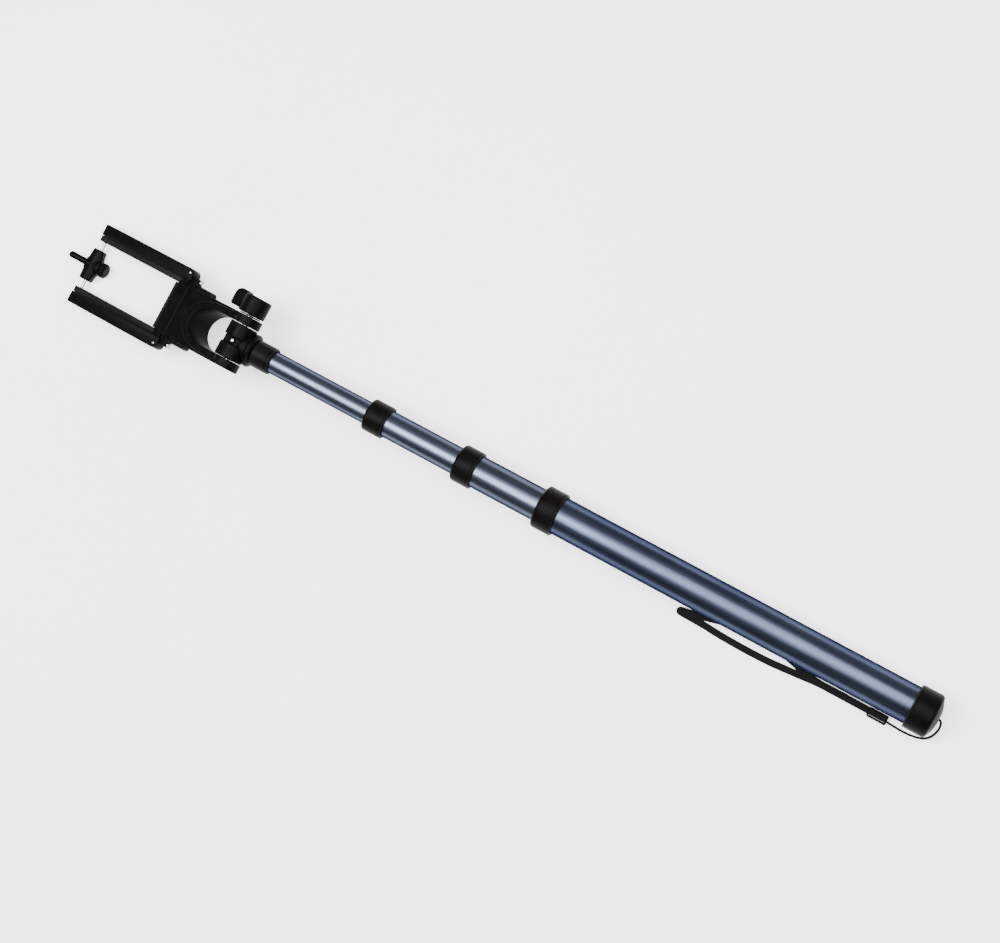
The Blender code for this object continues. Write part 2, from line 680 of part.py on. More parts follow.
def make_screw_holder(holder):
    """A cross: a hub on the rods, a seat for the camera on one side and a neck on the other."""
    taper = 0.0015
    profile = [(-HUB_HALF, 0.0), (-HUB_HALF, HUB_RADIUS - taper), (-HUB_HALF + taper, HUB_RADIUS)]
    profile += [(HUB_HALF - taper, HUB_RADIUS), (HUB_HALF, HUB_RADIUS - taper), (HUB_HALF, 0.0)]
    hub = turned("screw_holder", profile, SMALL, "Y")
    join(hub, rod("seat", 0.0, SEAT_REACH, SEAT_RADIUS, HIDDEN))
    join(hub, rod("neck", THUMB_END + GAP, 0.0, 0.0047, SMALL))
    cut(hub, rod("shank_bore", -0.0200, 0.0200, SHANK_RADIUS + GAP, TINY))
    sink = SEAT_REACH - STUD_SUNK - GAP
    cut(hub, rod("root_sink", sink, 0.0200, STUD_RADIUS + GAP, SMALL))
    for sign in (-1, 1):
        near, far = sorted((sign * 0.0038, sign * 0.0200))
        cut(hub, rod("rod_bore", near, far, ROD_RADIUS + GAP, TINY, "Y"))
    finish(hub, holder, BLACK)


def make_camera_screw(holder):
    """The camera's thread on a thinner shank that runs through the holder into the thumb knob."""
    root = SEAT_REACH - STUD_SUNK
    chamfer = 0.0006
    shank_end = THUMB_START + 0.0030
    profile = [(shank_end, 0.0), (shank_end, SHANK_RADIUS), (root, SHANK_RADIUS), (root, STUD_RADIUS)]
    profile += [(STUD_REACH - chamfer, STUD_RADIUS), (STUD_REACH, STUD_RADIUS - chamfer), (STUD_REACH, 0.0)]
    finish(turned("camera_screw", profile, SMALL), holder, STEEL)
    edge = 0.0010
    bore = SHANK_RADIUS + GAP
    profile = [(THUMB_START, 0.0), (THUMB_START, THUMB_RADIUS - edge), (THUMB_START + edge, THUMB_RADIUS)]
    profile += [(THUMB_END - edge, THUMB_RADIUS), (THUMB_END, THUMB_RADIUS - edge), (THUMB_END, bore)]
    profile += [(shank_end - GAP, bore), (shank_end - GAP, 0.0)]
    finish(turned("thumb_knob", profile, SMALL), holder, BLACK)


# The wrist strap


def make_strap(table):
    """A thin cord from the cap to a clasp, and a flat woven loop, all lying on the table."""
    curve = bpy.data.curves.new("wrist_cord", "CURVE")
    curve.dimensions = "3D"
    spline = curve.splines.new("POLY")
    route = smooth_curve(CORD_ROUTE, 3)
    spline.points.add(len(route) - 1)
    for point, place in zip(spline.points, route):
        point.co = (*place, 1.0)
    curve.bevel_depth = CORD_RADIUS
    curve.bevel_resolution = 2
    curve.use_fill_caps = True
    cord = bpy.data.objects.new("wrist_cord", curve)
    bpy.context.collection.objects.link(cord)
    finish(cord, table, WEBBING, smooth=False)
    low = (CLASP_SPAN[0], CLASP_MIDDLE - CLASP_HALF_WIDTH, 0.0)
    high = (CLASP_SPAN[1], CLASP_MIDDLE + CLASP_HALF_WIDTH, CLASP_HEIGHT)
    finish(box("strap_clasp", low, high, 0.0009), table, BLACK_SATIN)
    webbing = ribbon("wrist_webbing", smooth_curve(WEB_ROUTE, 3), WEB_WIDTH, WEB_THICKNESS)
    finish(webbing, table, WEBBING)


def make_knot(pole):
    """The cord's end knot, in the plug's pocket."""
    steps = 8
    profile = arc((KNOT_X, 0.0), (KNOT_RADIUS, KNOT_RADIUS), 180, 0, steps)
    profile[0] = (profile[0][0], 0.0)
    profile[-1] = (profile[-1][0], 0.0)
    finish(turned("cord_knot", profile, TINY), pole, WEBBING)


# The assembly


def lie_tilt():
    """How far the pole leans when the cap and the two rails' tips touch the table."""
    tip_x = PIVOT_X + RAIL_TIP * math.cos(HEAD_TIP_BACK) - RAIL_HALF * math.sin(HEAD_TIP_BACK)
    tip_z = -RAIL_TIP * math.sin(HEAD_TIP_BACK) - RAIL_HALF * math.cos(HEAD_TIP_BACK)
    return math.atan2(-CAP_RADIUS - tip_z, tip_x - CAP_STRAIGHT)


def centre_on_table(root, table, strap_names):
    """Moves the stick so that the origin is on the table, under the middle of its box."""
    bpy.context.view_layer.update()
    corners = []
    for obj in bpy.data.objects:
        if obj.type == "EMPTY" or obj.name in strap_names:
            continue
        corners += [obj.matrix_world @ v.co for v in obj.data.vertices]
    low = Vector([min(c[k] for c in corners) for k in range(3)])
    high = Vector([max(c[k] for c in corners) for k in range(3)])
    middle = (low + high) / 2
    root.location = (-middle.x, -middle.y, -low.z)
    table.location = (-middle.x, -middle.y, 0.0)


def main():
    for obj in list(bpy.data.objects):
        bpy.data.objects.remove(obj, do_unlink=True)
    pole = new_empty("stick", (0.0, 0.0, 0.0), -lie_tilt())
    table = new_empty("table", (0.0, 0.0, 0.0))
    head = new_empty("head", (PIVOT_X, 0.0, 0.0), HEAD_TIP_BACK, pole)
    jaw = new_empty("jaw", (ROD_AT, 0.0, 0.0), 0.0, head)
    holder = new_empty("holder", (0.0, 0.0, 0.0), -HOLDER_TIP_UP, jaw)

    make_tubes(pole)
    make_collars(pole)
    make_friction_sleeves(pole)
    make_guide_bushes(pole)
    make_end_cap(pole)
    make_end_plug(pole)
    make_knot(pole)
    make_head_socket(pole)
    make_flange(pole)

    make_pivot_shells(pole)
    make_shell_screw(pole)
    make_tension_bolt(head)
    make_tension_washer(head)
    make_tension_knob(head)

    make_yoke(head)
    make_latch_buttons(head)
    make_cradle_base(head)
    make_cradle_screws(head)
    make_rails(head)
    make_sliders(jaw)
    make_screw_holder(holder)
    make_camera_screw(holder)

    make_strap(table)
    centre_on_table(pole, table, ("wrist_cord", "strap_clasp", "wrist_webbing"))


main()
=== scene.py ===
"""The looks of a telescoping selfie stick that lies on a pale table in soft studio light.

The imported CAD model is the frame. Each visible piece here takes its sizes from the CAD node it stands for.
"""

import json
import math

import bmesh
import bpy
from mathutils import Matrix, Vector


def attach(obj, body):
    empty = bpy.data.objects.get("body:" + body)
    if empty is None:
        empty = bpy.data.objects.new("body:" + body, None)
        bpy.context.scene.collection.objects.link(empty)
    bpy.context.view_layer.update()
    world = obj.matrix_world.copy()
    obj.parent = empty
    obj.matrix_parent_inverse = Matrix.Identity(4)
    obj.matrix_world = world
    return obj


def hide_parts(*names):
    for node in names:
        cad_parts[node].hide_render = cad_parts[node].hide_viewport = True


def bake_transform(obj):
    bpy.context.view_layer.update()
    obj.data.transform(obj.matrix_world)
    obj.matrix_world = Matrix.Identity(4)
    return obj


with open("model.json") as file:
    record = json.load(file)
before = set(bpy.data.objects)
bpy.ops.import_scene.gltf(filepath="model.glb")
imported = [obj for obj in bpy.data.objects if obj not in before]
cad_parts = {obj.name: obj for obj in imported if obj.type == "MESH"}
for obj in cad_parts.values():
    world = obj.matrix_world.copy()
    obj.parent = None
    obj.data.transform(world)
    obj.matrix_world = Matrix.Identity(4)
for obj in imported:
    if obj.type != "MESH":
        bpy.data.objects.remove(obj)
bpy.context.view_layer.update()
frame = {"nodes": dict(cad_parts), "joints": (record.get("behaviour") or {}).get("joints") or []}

# All sizes are in metres.
GAP = 0.0003
ROUND = 128  # sides of the tubes, collars and other large round pieces
SMALL = 64  # sides of small round pieces
VOXEL = 0.00028  # how finely the moulded pieces are remeshed
FINE_VOXEL = 0.00020
BOLT_BORE = 0.0028  # radius of the holes that the tension bolt passes through
ROD_BORE = 0.0015  # radius of the holes that the cross rods pass through
FIXING_BORE = 0.0012  # radius of the holes for the cradle's screws
TONGUE_HALF = 0.0041  # half height of the part of a slider that runs in its rail
EAR_HALF = 0.0042  # half height of the cradle block's ears
STRIP_OUTER = 0.0253  # how far out the sliders' strips and the cradle block's bar reach
FLOOR_GLOW = 1.35
FLOOR_RADIUS = 14.0
WORLD_STRENGTH = 0.20
SOFTBOX_HEIGHT = 2.40

# The camera, in the pole's frame.
VIEW_AIM = (0.3743, -0.00835, 0.0)
VIEW_DISTANCE = 1.7328
VIEW_LEAN = math.radians(11.30)  # how far the grip's end comes forward
VIEW_ROLL = math.radians(28.17)  # how far the pole falls towards the picture's lower right
LENS_MM = 82.08
SENSOR_MM = 36.0

# The wrist strap's routes: x from the butt, y from the pole's line, z from the table.
CORD_DIAMETER = 0.0020
CLASP_REACH = Vector((0.0015, 0.0, 0.0))  # how far the cord and the webbing run into the clasp
WEB_WIDTH = 0.0056
WEB_THICKNESS = 0.0014
CORD_ROUTE = (
    (0.0060, 0.0000, 0.0176),
    (0.0000, 0.0001, 0.0174),
    (-0.0022, 0.0016, 0.0166),
    (-0.0030, 0.0056, 0.0142),
    (-0.0022, 0.0100, 0.0112),
    (-0.0004, 0.0138, 0.0082),
    (0.0030, 0.0172, 0.0052),
    (0.0080, 0.0193, 0.0030),
    (0.0140, 0.0203, 0.0021),
    (0.0200, 0.0206, 0.0018),
    (0.0260, 0.0204, 0.0020),
    (0.0325, 0.0200, 0.0024),
)
WEB_ROUTE = (
    (0.0489, 0.0186, 0.0012),
    (0.0700, 0.0184, 0.0010),
    (0.0900, 0.0188, 0.0010),
    (0.1100, 0.0206, 0.0010),
    (0.1300, 0.0222, 0.0010),
    (0.1500, 0.0226, 0.0010),
    (0.1700, 0.0222, 0.0010),
    (0.1850, 0.0213, 0.0010),
    (0.1970, 0.0210, 0.0010),
    (0.2050, 0.0208, 0.0014),
    (0.2072, 0.0202, 0.0026),
    (0.2050, 0.0192, 0.0038),
    (0.1970, 0.0178, 0.0040),
    (0.1850, 0.0150, 0.0036),
    (0.1700, 0.0116, 0.0034),
    (0.1500, 0.0096, 0.0034),
    (0.1300, 0.0104, 0.0034),
    (0.1150, 0.0134, 0.0034),
    (0.1020, 0.0166, 0.0034),
    (0.0900, 0.0184, 0.0034),
    (0.0700, 0.0186, 0.0034),
    (0.0489, 0.0186, 0.0036),
)


# The CAD model's own frames


def frame_at(origin, x_axis, y_axis=(0.0, 1.0, 0.0)):
    x = Vector(x_axis).normalized()
    z = x.cross(Vector(y_axis)).normalized()
    matrix = Matrix((x, z.cross(x), z)).transposed().to_4x4()
    matrix.translation = origin
    return matrix


JOINTS = {joint["name"]: joint for joint in frame["joints"]}
PIVOT_X = 0.6078  # from the butt to the pivot
SCREW_LINE = 0.0278  # how far out the cradle's screws are
SPRING_LINE = 0.0290  # how far out the jaw's springs are
PIVOT = Vector(JOINTS["head_tilt"]["pos_m"])
RODS = Vector(JOINTS["holder_swing"]["pos_m"])
POLE_AXIS = Vector(JOINTS["top_slide"]["axis"])
POLE = frame_at(PIVOT - PIVOT_X * POLE_AXIS, POLE_AXIS)
HEAD = frame_at(PIVOT, JOINTS["jaw_slide"]["axis"])
HOLDER = frame_at(RODS, JOINTS["camera_screw_turn"]["axis"])
TABLE = Matrix.Translation((POLE.translation.x, POLE.translation.y, 0.0))
ROD_AT = (HEAD.inverted() @ RODS).x


def extent(node, at):
    """The lowest and highest corners of a CAD node, in the frame given."""
    back = at.inverted()
    places = [back @ v.co for v in frame["nodes"][node].data.vertices]
    low = Vector([min(p[k] for p in places) for k in range(3)])
    high = Vector([max(p[k] for p in places) for k in range(3)])
    return low, high


# Materials

COARSE, FINE = 2600.0, 3400.0  # the scales of the mould's grain


class Graph:
    """A material's nodes, with short ways to add the textures used here."""

    def __init__(self, name, **values):
        self.material = bpy.data.materials.new(name)
        self.material.use_nodes = True
        self.nodes = self.material.node_tree.nodes
        self.shader = self.nodes["Principled BSDF"]
        for key, value in values.items():
            self.shader.inputs[key.replace("_", " ")].default_value = value
        self.coords = self.nodes.new("ShaderNodeTexCoord").outputs["Object"]

    def link(self, source, target):
        self.material.node_tree.links.new(source, target)

    def noise(self, scale, detail=3.0, stretch=(1.0, 1.0, 1.0)):
        mapping = self.nodes.new("ShaderNodeMapping")
        mapping.inputs["Scale"].default_value = stretch
        self.link(self.coords, mapping.inputs["Vector"])
        texture = self.nodes.new("ShaderNodeTexNoise")
        texture.inputs["Scale"].default_value = scale
        texture.inputs["Detail"].default_value = detail
        self.link(mapping.outputs["Vector"], texture.inputs["Vector"])
        return texture.outputs["Fac"]

    def spread(self, source, low, high, start=0.3, end=0.7):
        """A value between low and high, as the source goes from start to end."""
        node = self.nodes.new("ShaderNodeMapRange")
        node.inputs["From Min"].default_value = start
        node.inputs["From Max"].default_value = end
        node.inputs["To Min"].default_value = low
        node.inputs["To Max"].default_value = high
        self.link(source, node.inputs["Value"])
        return node.outputs["Result"]

    def blend(self, factor, one, two):
        """One colour or the other, by the factor. Each may be a colour or a socket."""
        node = self.nodes.new("ShaderNodeMix")
        node.data_type = "RGBA"
        self.link(factor, node.inputs["Factor"])
        for slot, colour in ((6, one), (7, two)):
            if isinstance(colour, tuple):
                node.inputs[slot].default_value = (*colour, 1.0)
            else:
                self.link(colour, node.inputs[slot])
        return node.outputs[2]

    def bump(self, height, distance, strength=1.0, under=None):
        node = self.nodes.new("ShaderNodeBump")
        node.inputs["Distance"].default_value = distance
        node.inputs["Strength"].default_value = strength
        self.link(height, node.inputs["Height"])
        if under:
            self.link(under, node.inputs["Normal"])
        return node.outputs["Normal"]

    def edges(self, start=0.52, end=0.62):
        """High along the piece's outer edges, where a highlight is painted into the colour."""
        geometry = self.nodes.new("ShaderNodeNewGeometry")
        return self.spread(geometry.outputs["Pointiness"], 0.0, 1.0, start, end)

    def colour(self, socket):
        self.link(socket, self.shader.inputs["Base Color"])

    def roughness(self, socket):
        self.link(socket, self.shader.inputs["Roughness"])

    def normal(self, socket):
        self.link(socket, self.shader.inputs["Normal"])


def anodised(name, dark, light, low, high):
    """Drawn aluminium tube, blasted to a fine satin and dyed: faint lines along it and a fine grain."""
    g = Graph(name, Metallic=1.0, Specular_Tint=(0.12, 0.11, 0.09, 1.0))
    lines = g.noise(900.0, 2.0, (0.006, 1.0, 1.0))
    grain = g.noise(5200.0, 2.0)
    cloud = g.noise(28.0, 3.0)
    tint = g.blend(g.spread(cloud, 0.0, 1.0), dark, light)
    g.colour(g.blend(g.spread(grain, 0.0, 0.30), tint, light))
    g.roughness(g.spread(lines, low, high))
    drawn = g.bump(lines, 0.000008, 0.5)
    g.normal(g.bump(grain, 0.000010, 0.6, drawn))
    return g.material


def plastic(name, dark, light, low, high, grain_height=0.00002, grain_scale=COARSE, gloss=0.03):
    """Moulded black plastic: a fine spark-eroded grain, with a painted highlight along its edges."""
    g = Graph(name, Specular_IOR_Level=gloss)
    grain = g.noise(grain_scale, 3.0)
    patches = g.noise(160.0, 3.0)
    base = g.blend(g.spread(patches, 0.0, 1.0), dark, light)
    # Painted highlight: the colour is made lighter along the outer edges.
    brighter, lift = 1.7, 0.004
    painted_edge_highlight = tuple(min(1.0, brighter * c + lift) for c in light)
    g.colour(g.blend(g.edges(), base, painted_edge_highlight))
    g.roughness(g.spread(patches, low, high))
    waves = g.bump(patches, 0.00003, 0.25)
    g.normal(g.bump(grain, grain_height, 0.7, waves))
    return g.material


def metal(name, dark, light, low, high, rim=0.6):
    """Bare or plated metal with fine machining marks. The rim is how bright its grazing reflections are."""
    g = Graph(name, Metallic=1.0, Specular_Tint=(rim, rim, rim, 1.0))
    marks = g.noise(1800.0, 3.0)
    stains = g.noise(220.0, 3.0)
    g.colour(g.blend(g.spread(stains, 0.0, 1.0), dark, light))
    g.roughness(g.spread(marks, low, high))
    g.normal(g.bump(marks, 0.000006, 0.5))
    return g.material


def nylon(name):
    """Natural nylon: milky, slightly translucent to the eye and faintly mottled."""
    g = Graph(name, Subsurface_Weight=0.15, Subsurface_Scale=0.0010)
    mottle = g.noise(500.0, 3.0)
    g.colour(g.blend(g.spread(mottle, 0.0, 1.0), (0.50, 0.49, 0.45), (0.63, 0.62, 0.58)))
    g.roughness(g.spread(mottle, 0.42, 0.60))
    g.normal(g.bump(mottle, 0.00002, 0.4))
    return g.material


def textile(name, dark, light):
    """Black polyester yarn: matt, with a soft sheen and fine fibres that catch the light."""
    g = Graph(name, Sheen_Weight=0.02, Sheen_Roughness=0.5, Specular_IOR_Level=0.08)
    fibres = g.noise(3500.0, 4.0, (0.25, 1.0, 1.0))
    fade = g.noise(90.0, 3.0)
    base = g.blend(g.spread(fade, 0.0, 1.0), dark, light)
    g.colour(g.blend(g.spread(fibres, 0.0, 0.5), base, tuple(2.2 * c for c in light)))
    g.roughness(g.spread(fibres, 0.62, 0.85))
    g.normal(g.bump(fibres, 0.00004, 0.8))
    return g.material


LOOKS = {
    "grip": (
        anodised("navy_anodising", (0.045, 0.052, 0.084), (0.058, 0.068, 0.106), 0.28, 0.38),
        "anodised_navy",
    ),
    "tube": (
        anodised("blue_anodising", (0.072, 0.082, 0.114), (0.088, 0.100, 0.140), 0.27, 0.36),
        "anodised_blue",
    ),
    "plastic": (
        plastic("grained_plastic", (0.0015, 0.0014, 0.0012), (0.0026, 0.0024, 0.0021), 0.34, 0.46),
        "black_plastic",
    ),
    "satin": (
        plastic(
            "satin_plastic", (0.0017, 0.0016, 0.0014), (0.0028, 0.0026, 0.0024), 0.36, 0.48, 0.00001, FINE,
        ),
        "satin_black_plastic",
    ),
    "polished": (
        plastic(
            "polished_plastic", (0.010, 0.010, 0.010), (0.016, 0.016, 0.016), 0.12, 0.20, 0.000004, FINE,
            gloss=0.9,
        ),
        "satin_black_plastic",
    ),
    "rubber": (
        plastic(
            "ribbed_rubber", (0.0022, 0.0021, 0.0020), (0.0040, 0.0039, 0.0037), 0.62, 0.78, 0.00004, 2200.0,
        ),
        "black_rubber",
    ),
    "webbing": (
        textile("woven_polyester", (0.0014, 0.0014, 0.0015), (0.0028, 0.0028, 0.0030)),
        "black_webbing",
    ),
    "nylon": (nylon("natural_nylon"), "nylon"),
    "steel": (metal("zinc_steel", (0.48, 0.48, 0.49), (0.62, 0.62, 0.63), 0.20, 0.34), "steel"),
    "black_steel": (
        metal("blackened_steel", (0.008, 0.008, 0.009), (0.016, 0.016, 0.018), 0.30, 0.44, rim=0.2),
        "steel",
    ),
    "chrome": (
        metal("chrome_plate", (0.28, 0.28, 0.30), (0.36, 0.36, 0.38), 0.08, 0.16, rim=0.02),
        "chrome",
    ),
    "brass": (metal("turned_brass", (0.50, 0.36, 0.14), (0.64, 0.48, 0.20), 0.22, 0.34), "brass"),
}


# Building blocks. Each makes a piece in its own frame; dress() then puts it in place.


def to_object(name, bm, smooth_angle=35.0):
    bmesh.ops.recalc_face_normals(bm, faces=bm.faces)
    mesh = bpy.data.meshes.new(name)
    bm.to_mesh(mesh)
    bm.free()
    mesh.shade_smooth()
    mesh.set_sharp_from_angle(angle=math.radians(smooth_angle))
    obj = bpy.data.objects.new(name, mesh)
    bpy.context.scene.collection.objects.link(obj)
    return obj


def dress(obj, at, body, look, *nodes):
    """Places a finished piece, gives it its look and its body, and hides the CAD nodes that it stands for.
    """
    material, slot = LOOKS[look]
    obj.matrix_world = at
    obj.data.materials.clear()
    obj.data.materials.append(material)
    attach(obj, body)
    if nodes:
        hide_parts(*nodes)
    return obj


def baked(obj):
    """Applies the piece's modifiers to its mesh."""
    bpy.context.view_layer.update()
    evaluated = obj.evaluated_get(bpy.context.evaluated_depsgraph_get())
    mesh = bpy.data.meshes.new_from_object(evaluated)
    obj.modifiers.clear()
    obj.data = mesh
    return obj


def softened(points, reach, steps=5):
    """A closed outline with rounded corners. Each bend starts that far from its corner."""
    result = []
    count = len(points)
    for i, point in enumerate(points):
        corner = Vector(point)
        before = Vector(points[i - 1]) - corner
        after = Vector(points[(i + 1) % count]) - corner
        straight = before.length < 1e-7 or after.length < 1e-7 or before.angle(after) > math.radians(165)
        if straight or corner.y == 0.0:
            result.append(corner)
            continue
        start = corner + before.normalized() * min(reach, 0.45 * before.length)
        end = corner + after.normalized() * min(reach, 0.45 * after.length)
        for k in range(steps + 1):
            t = k / steps
            result.append((1 - t) ** 2 * start + 2 * t * (1 - t) * corner + t * t * end)
    return [(p.x, p.y) for p in result]


def arc(centre, radii, start, end, steps):
    angles = [math.radians(start + (end - start) * i / steps) for i in range(steps + 1)]
    return [(centre[0] + radii[0] * math.cos(a), centre[1] + radii[1] * math.sin(a)) for a in angles]


def along(axis):
    """The rotation that turns +X onto the named axis."""
    if axis == "X":
        return Matrix.Identity(4)
    if axis == "Y":
        return Matrix.Rotation(math.pi / 2, 4, "Z")
    return Matrix.Rotation(-math.pi / 2, 4, "Y")


def turned(name, profile, sides=ROUND, axis="X", at=(0.0, 0.0, 0.0), flutes=0, flute_depth=0.0):
    """A solid of revolution from a closed profile of (distance along the axis, radius)."""
    bm = bmesh.new()
    rings = []
    widest = max(r for _, r in profile)
    for x, r in profile:
        if r == 0.0:
            rings.append([bm.verts.new((x, 0.0, 0.0))])
            continue
        ring = []
        for i in range(sides):
            a = 2 * math.pi * i / sides
            bite = flute_depth * (0.5 + 0.5 * math.cos(flutes * a)) if r > 0.8 * widest else 0.0
            ring.append(bm.verts.new((x, (r - bite) * math.cos(a), (r - bite) * math.sin(a))))
        rings.append(ring)
    for one, two in zip(rings, rings[1:] + rings[:1]):
        if len(one) == 1 and len(two) == 1:
            continue
        for i in range(sides):
            j = (i + 1) % sides
            corners = [one[i % len(one)], one[j % len(one)], two[j % len(two)], two[i % len(two)]]
            bm.faces.new(list(dict.fromkeys(corners)))
    bm.transform(Matrix.Translation(at) @ along(axis))
    return to_object(name, bm)


def rod(name, start, end, radius, sides=SMALL, axis="X", at=(0.0, 0.0, 0.0), edge=0.0):
    profile = [(start, 0.0), (start, radius), (end, radius), (end, 0.0)]
    if edge:
        profile = softened(profile, edge)
    return turned(name, profile, sides, axis, at)


def box(name, low, high, bevel=0.0, segments=3):
    bm = bmesh.new()
    bmesh.ops.create_cube(bm, size=1.0)
    size = Vector(high) - Vector(low)
    middle = (Vector(high) + Vector(low)) / 2
    bm.transform(Matrix.Translation(middle) @ Matrix.Diagonal((*size, 1.0)))
    if bevel:
        bmesh.ops.bevel(bm, geom=bm.edges[:], offset=bevel, segments=segments, profile=0.5, affect="EDGES")
    return to_object(name, bm)


def extruded(name, outline, low, high, axis="Z", bevel=0.0, segments=3):
    """An outline given a thickness. Its points are (x, y) along Z, (x, z) along Y or (y, z) along X."""
    bm = bmesh.new()
    lay = {
        "X": lambda p: (low, p[0], p[1]),
        "Y": lambda p: (p[0], low, p[1]),
        "Z": lambda p: (p[0], p[1], low),
    }
    push = {"Z": Vector((0, 0, 1)), "Y": Vector((0, 1, 0)), "X": Vector((1, 0, 0))}[axis] * (high - low)
    face = bm.faces.new([bm.verts.new(lay[axis](p)) for p in outline])
    new = bmesh.ops.extrude_face_region(bm, geom=[face])
    bmesh.ops.translate(bm, verts=[v for v in new["geom"] if isinstance(v, bmesh.types.BMVert)], vec=push)
    if bevel:
        across = "XYZ".index(axis)
        rims = [e for e in bm.edges if len({round(v.co[across], 7) for v in e.verts}) == 1]
        bmesh.ops.bevel(bm, geom=rims, offset=bevel, segments=segments, profile=0.5, affect="EDGES")
    return to_object(name, bm)


def tapered(name, lower, upper, low, high):
    """A solid between two outlines with as many points, at heights low and high."""
    bm = bmesh.new()
    floor = [bm.verts.new((*p, low)) for p in lower]
    roof = [bm.verts.new((*p, high)) for p in upper]
    for k in range(len(floor)):
        m = (k + 1) % len(floor)
        bm.faces.new((floor[k], floor[m], roof[m], roof[k]))
    bm.faces.new(floor)
    bm.faces.new(roof)
    bmesh.ops.triangulate(bm, faces=bm.faces[:])
    return to_object(name, bm)


def combine(obj, others, operation):
    for other in others:
        modifier = obj.modifiers.new("combine", "BOOLEAN")
        modifier.operation = operation
        modifier.solver = "EXACT"
        modifier.object = other
        baked(obj)
        bpy.data.objects.remove(other)
    return obj


def cut(obj, *cutters):
    return combine(obj, cutters, "DIFFERENCE")


def join(obj, *others):
    return combine(obj, others, "UNION")


def moulded(obj, voxel=VOXEL, passes=5, keep=0.5):
    """Gives a piece the small even radii of a moulding, then thins the mesh where it is flat."""
    remesh = obj.modifiers.new("remesh", "REMESH")
    remesh.mode = "VOXEL"
    remesh.voxel_size = voxel
    soften = obj.modifiers.new("soften", "SMOOTH")
    soften.factor = 0.5
    soften.iterations = passes
    thin = obj.modifiers.new("thin", "DECIMATE")
    thin.ratio = keep
    baked(obj)
    obj.data.shade_smooth()
    return obj


def crisp(obj, width, segments=3, angle=40.0):
    """Rounds the edges of a piece with flat faces."""
    bevel = obj.modifiers.new("edges", "BEVEL")
    bevel.width = width
    bevel.segments = segments
    bevel.limit_method = "ANGLE"
    bevel.angle_limit = math.radians(angle)
    bevel.harden_normals = True
    baked(obj)
    return obj


def smooth_curve(points, per_span):
    """Points of a Catmull-Rom curve through the given points."""
    points = [Vector(p) for p in points]
    padded = [2 * points[0] - points[1]] + points + [2 * points[-1] - points[-2]]
    result = []
    for i in range(len(points) - 1):
        a, b, c, d = padded[i : i + 4]
        for k in range(per_span):
            t = k / per_span
            bend = (2 * a - 5 * b + 4 * c - d) * t * t + (3 * b - a - 3 * c + d) * t**3
            result.append((2 * b + (c - a) * t + bend) / 2)
    return result + [points[-1]]


def even_steps(points, step):
    """The same line in equal steps, close to the step asked for."""
    runs = [(b - a).length for a, b in zip(points, points[1:])]
    total = sum(runs)
    count = max(2, round(total / step))
    result = []
    i = 0
    passed = 0.0
    for k in range(count + 1):
        want = total * k / count
        while i < len(runs) - 1 and passed + runs[i] < want:
            passed += runs[i]
            i += 1
        t = min(1.0, (want - passed) / runs[i])
        result.append(points[i].lerp(points[i + 1], t))
    return result


def swept(name, points, section, level_side=False):
    """A closed tube along a line. section(i, side, up) gives the offsets of ring i."""
    bm = bmesh.new()
    rings = []
    side = None
    for i, point in enumerate(points):
        ahead = points[min(i + 1, len(points) - 1)] - points[max(i - 1, 0)]
        if level_side:
            level = Vector((ahead.x, ahead.y, 0.0))
            new = level.normalized().cross(Vector((0.0, 0.0, 1.0))) if level.length > 1e-7 else side
        else:
            guess = side if side else Vector((0.0, 0.0, 1.0)).cross(ahead)
            new = (guess - ahead * guess.dot(ahead) / ahead.length_squared).normalized()
        if side and new.dot(side) < 0:
            new = -new
        side = new
        up = side.cross(ahead).normalized()
        rings.append([bm.verts.new(point + offset) for offset in section(i, side, up)])
    for one, two in zip(rings, rings[1:]):
        for k in range(len(one)):
            m = (k + 1) % len(one)
            bm.faces.new((one[k], one[m], two[m], two[k]))
    bm.faces.new(rings[0])
    bm.faces.new(rings[-1])
    return to_object(name, bm, 60.0)


def coil(name, start, end, middle, radius, wire, turns, axis="X"):
    """A spring of round wire, wound closer at its two ends."""
    steps = 28
    crowding = 0.07
    points = []
    for i in range(turns * steps + 1):
        t = i / (turns * steps)
        spaced = t - crowding * math.sin(4 * math.pi * t) / (4 * math.pi) * 4
        a = 2 * math.pi * turns * t
        x = start + wire + (end - start - 2 * wire) * spaced
        place = Vector((x, radius * math.cos(a), radius * math.sin(a)))
        points.append(Matrix.Translation(middle) @ along(axis) @ place)
    sides = 10

    def section(_, side, up):
        angles = [2 * math.pi * k / sides for k in range(sides)]
        return [wire * (side * math.cos(a) + up * math.sin(a)) for a in angles]

    return swept(name, points, section)


# The camera


def add_camera():
    forward = Vector((math.cos(VIEW_LEAN), 0.0, math.sin(VIEW_LEAN)))
    back = Vector((-math.sin(VIEW_LEAN), 0.0, math.cos(VIEW_LEAN)))
    across = Vector((0.0, 1.0, 0.0))
    right = -math.cos(VIEW_ROLL) * forward - math.sin(VIEW_ROLL) * across
    up = math.sin(VIEW_ROLL) * forward - math.cos(VIEW_ROLL) * across
    matrix = Matrix((right, up, back)).transposed().to_4x4()
    matrix.translation = Vector(VIEW_AIM) + VIEW_DISTANCE * back
    data = bpy.data.cameras.new("camera")
    data.sensor_fit = "HORIZONTAL"
    data.sensor_width = SENSOR_MM
    data.lens = LENS_MM
    camera = bpy.data.objects.new("camera", data)
    bpy.context.scene.collection.objects.link(camera)
    camera.matrix_world = POLE @ matrix
    bpy.context.scene.camera = camera


# The wrist strap


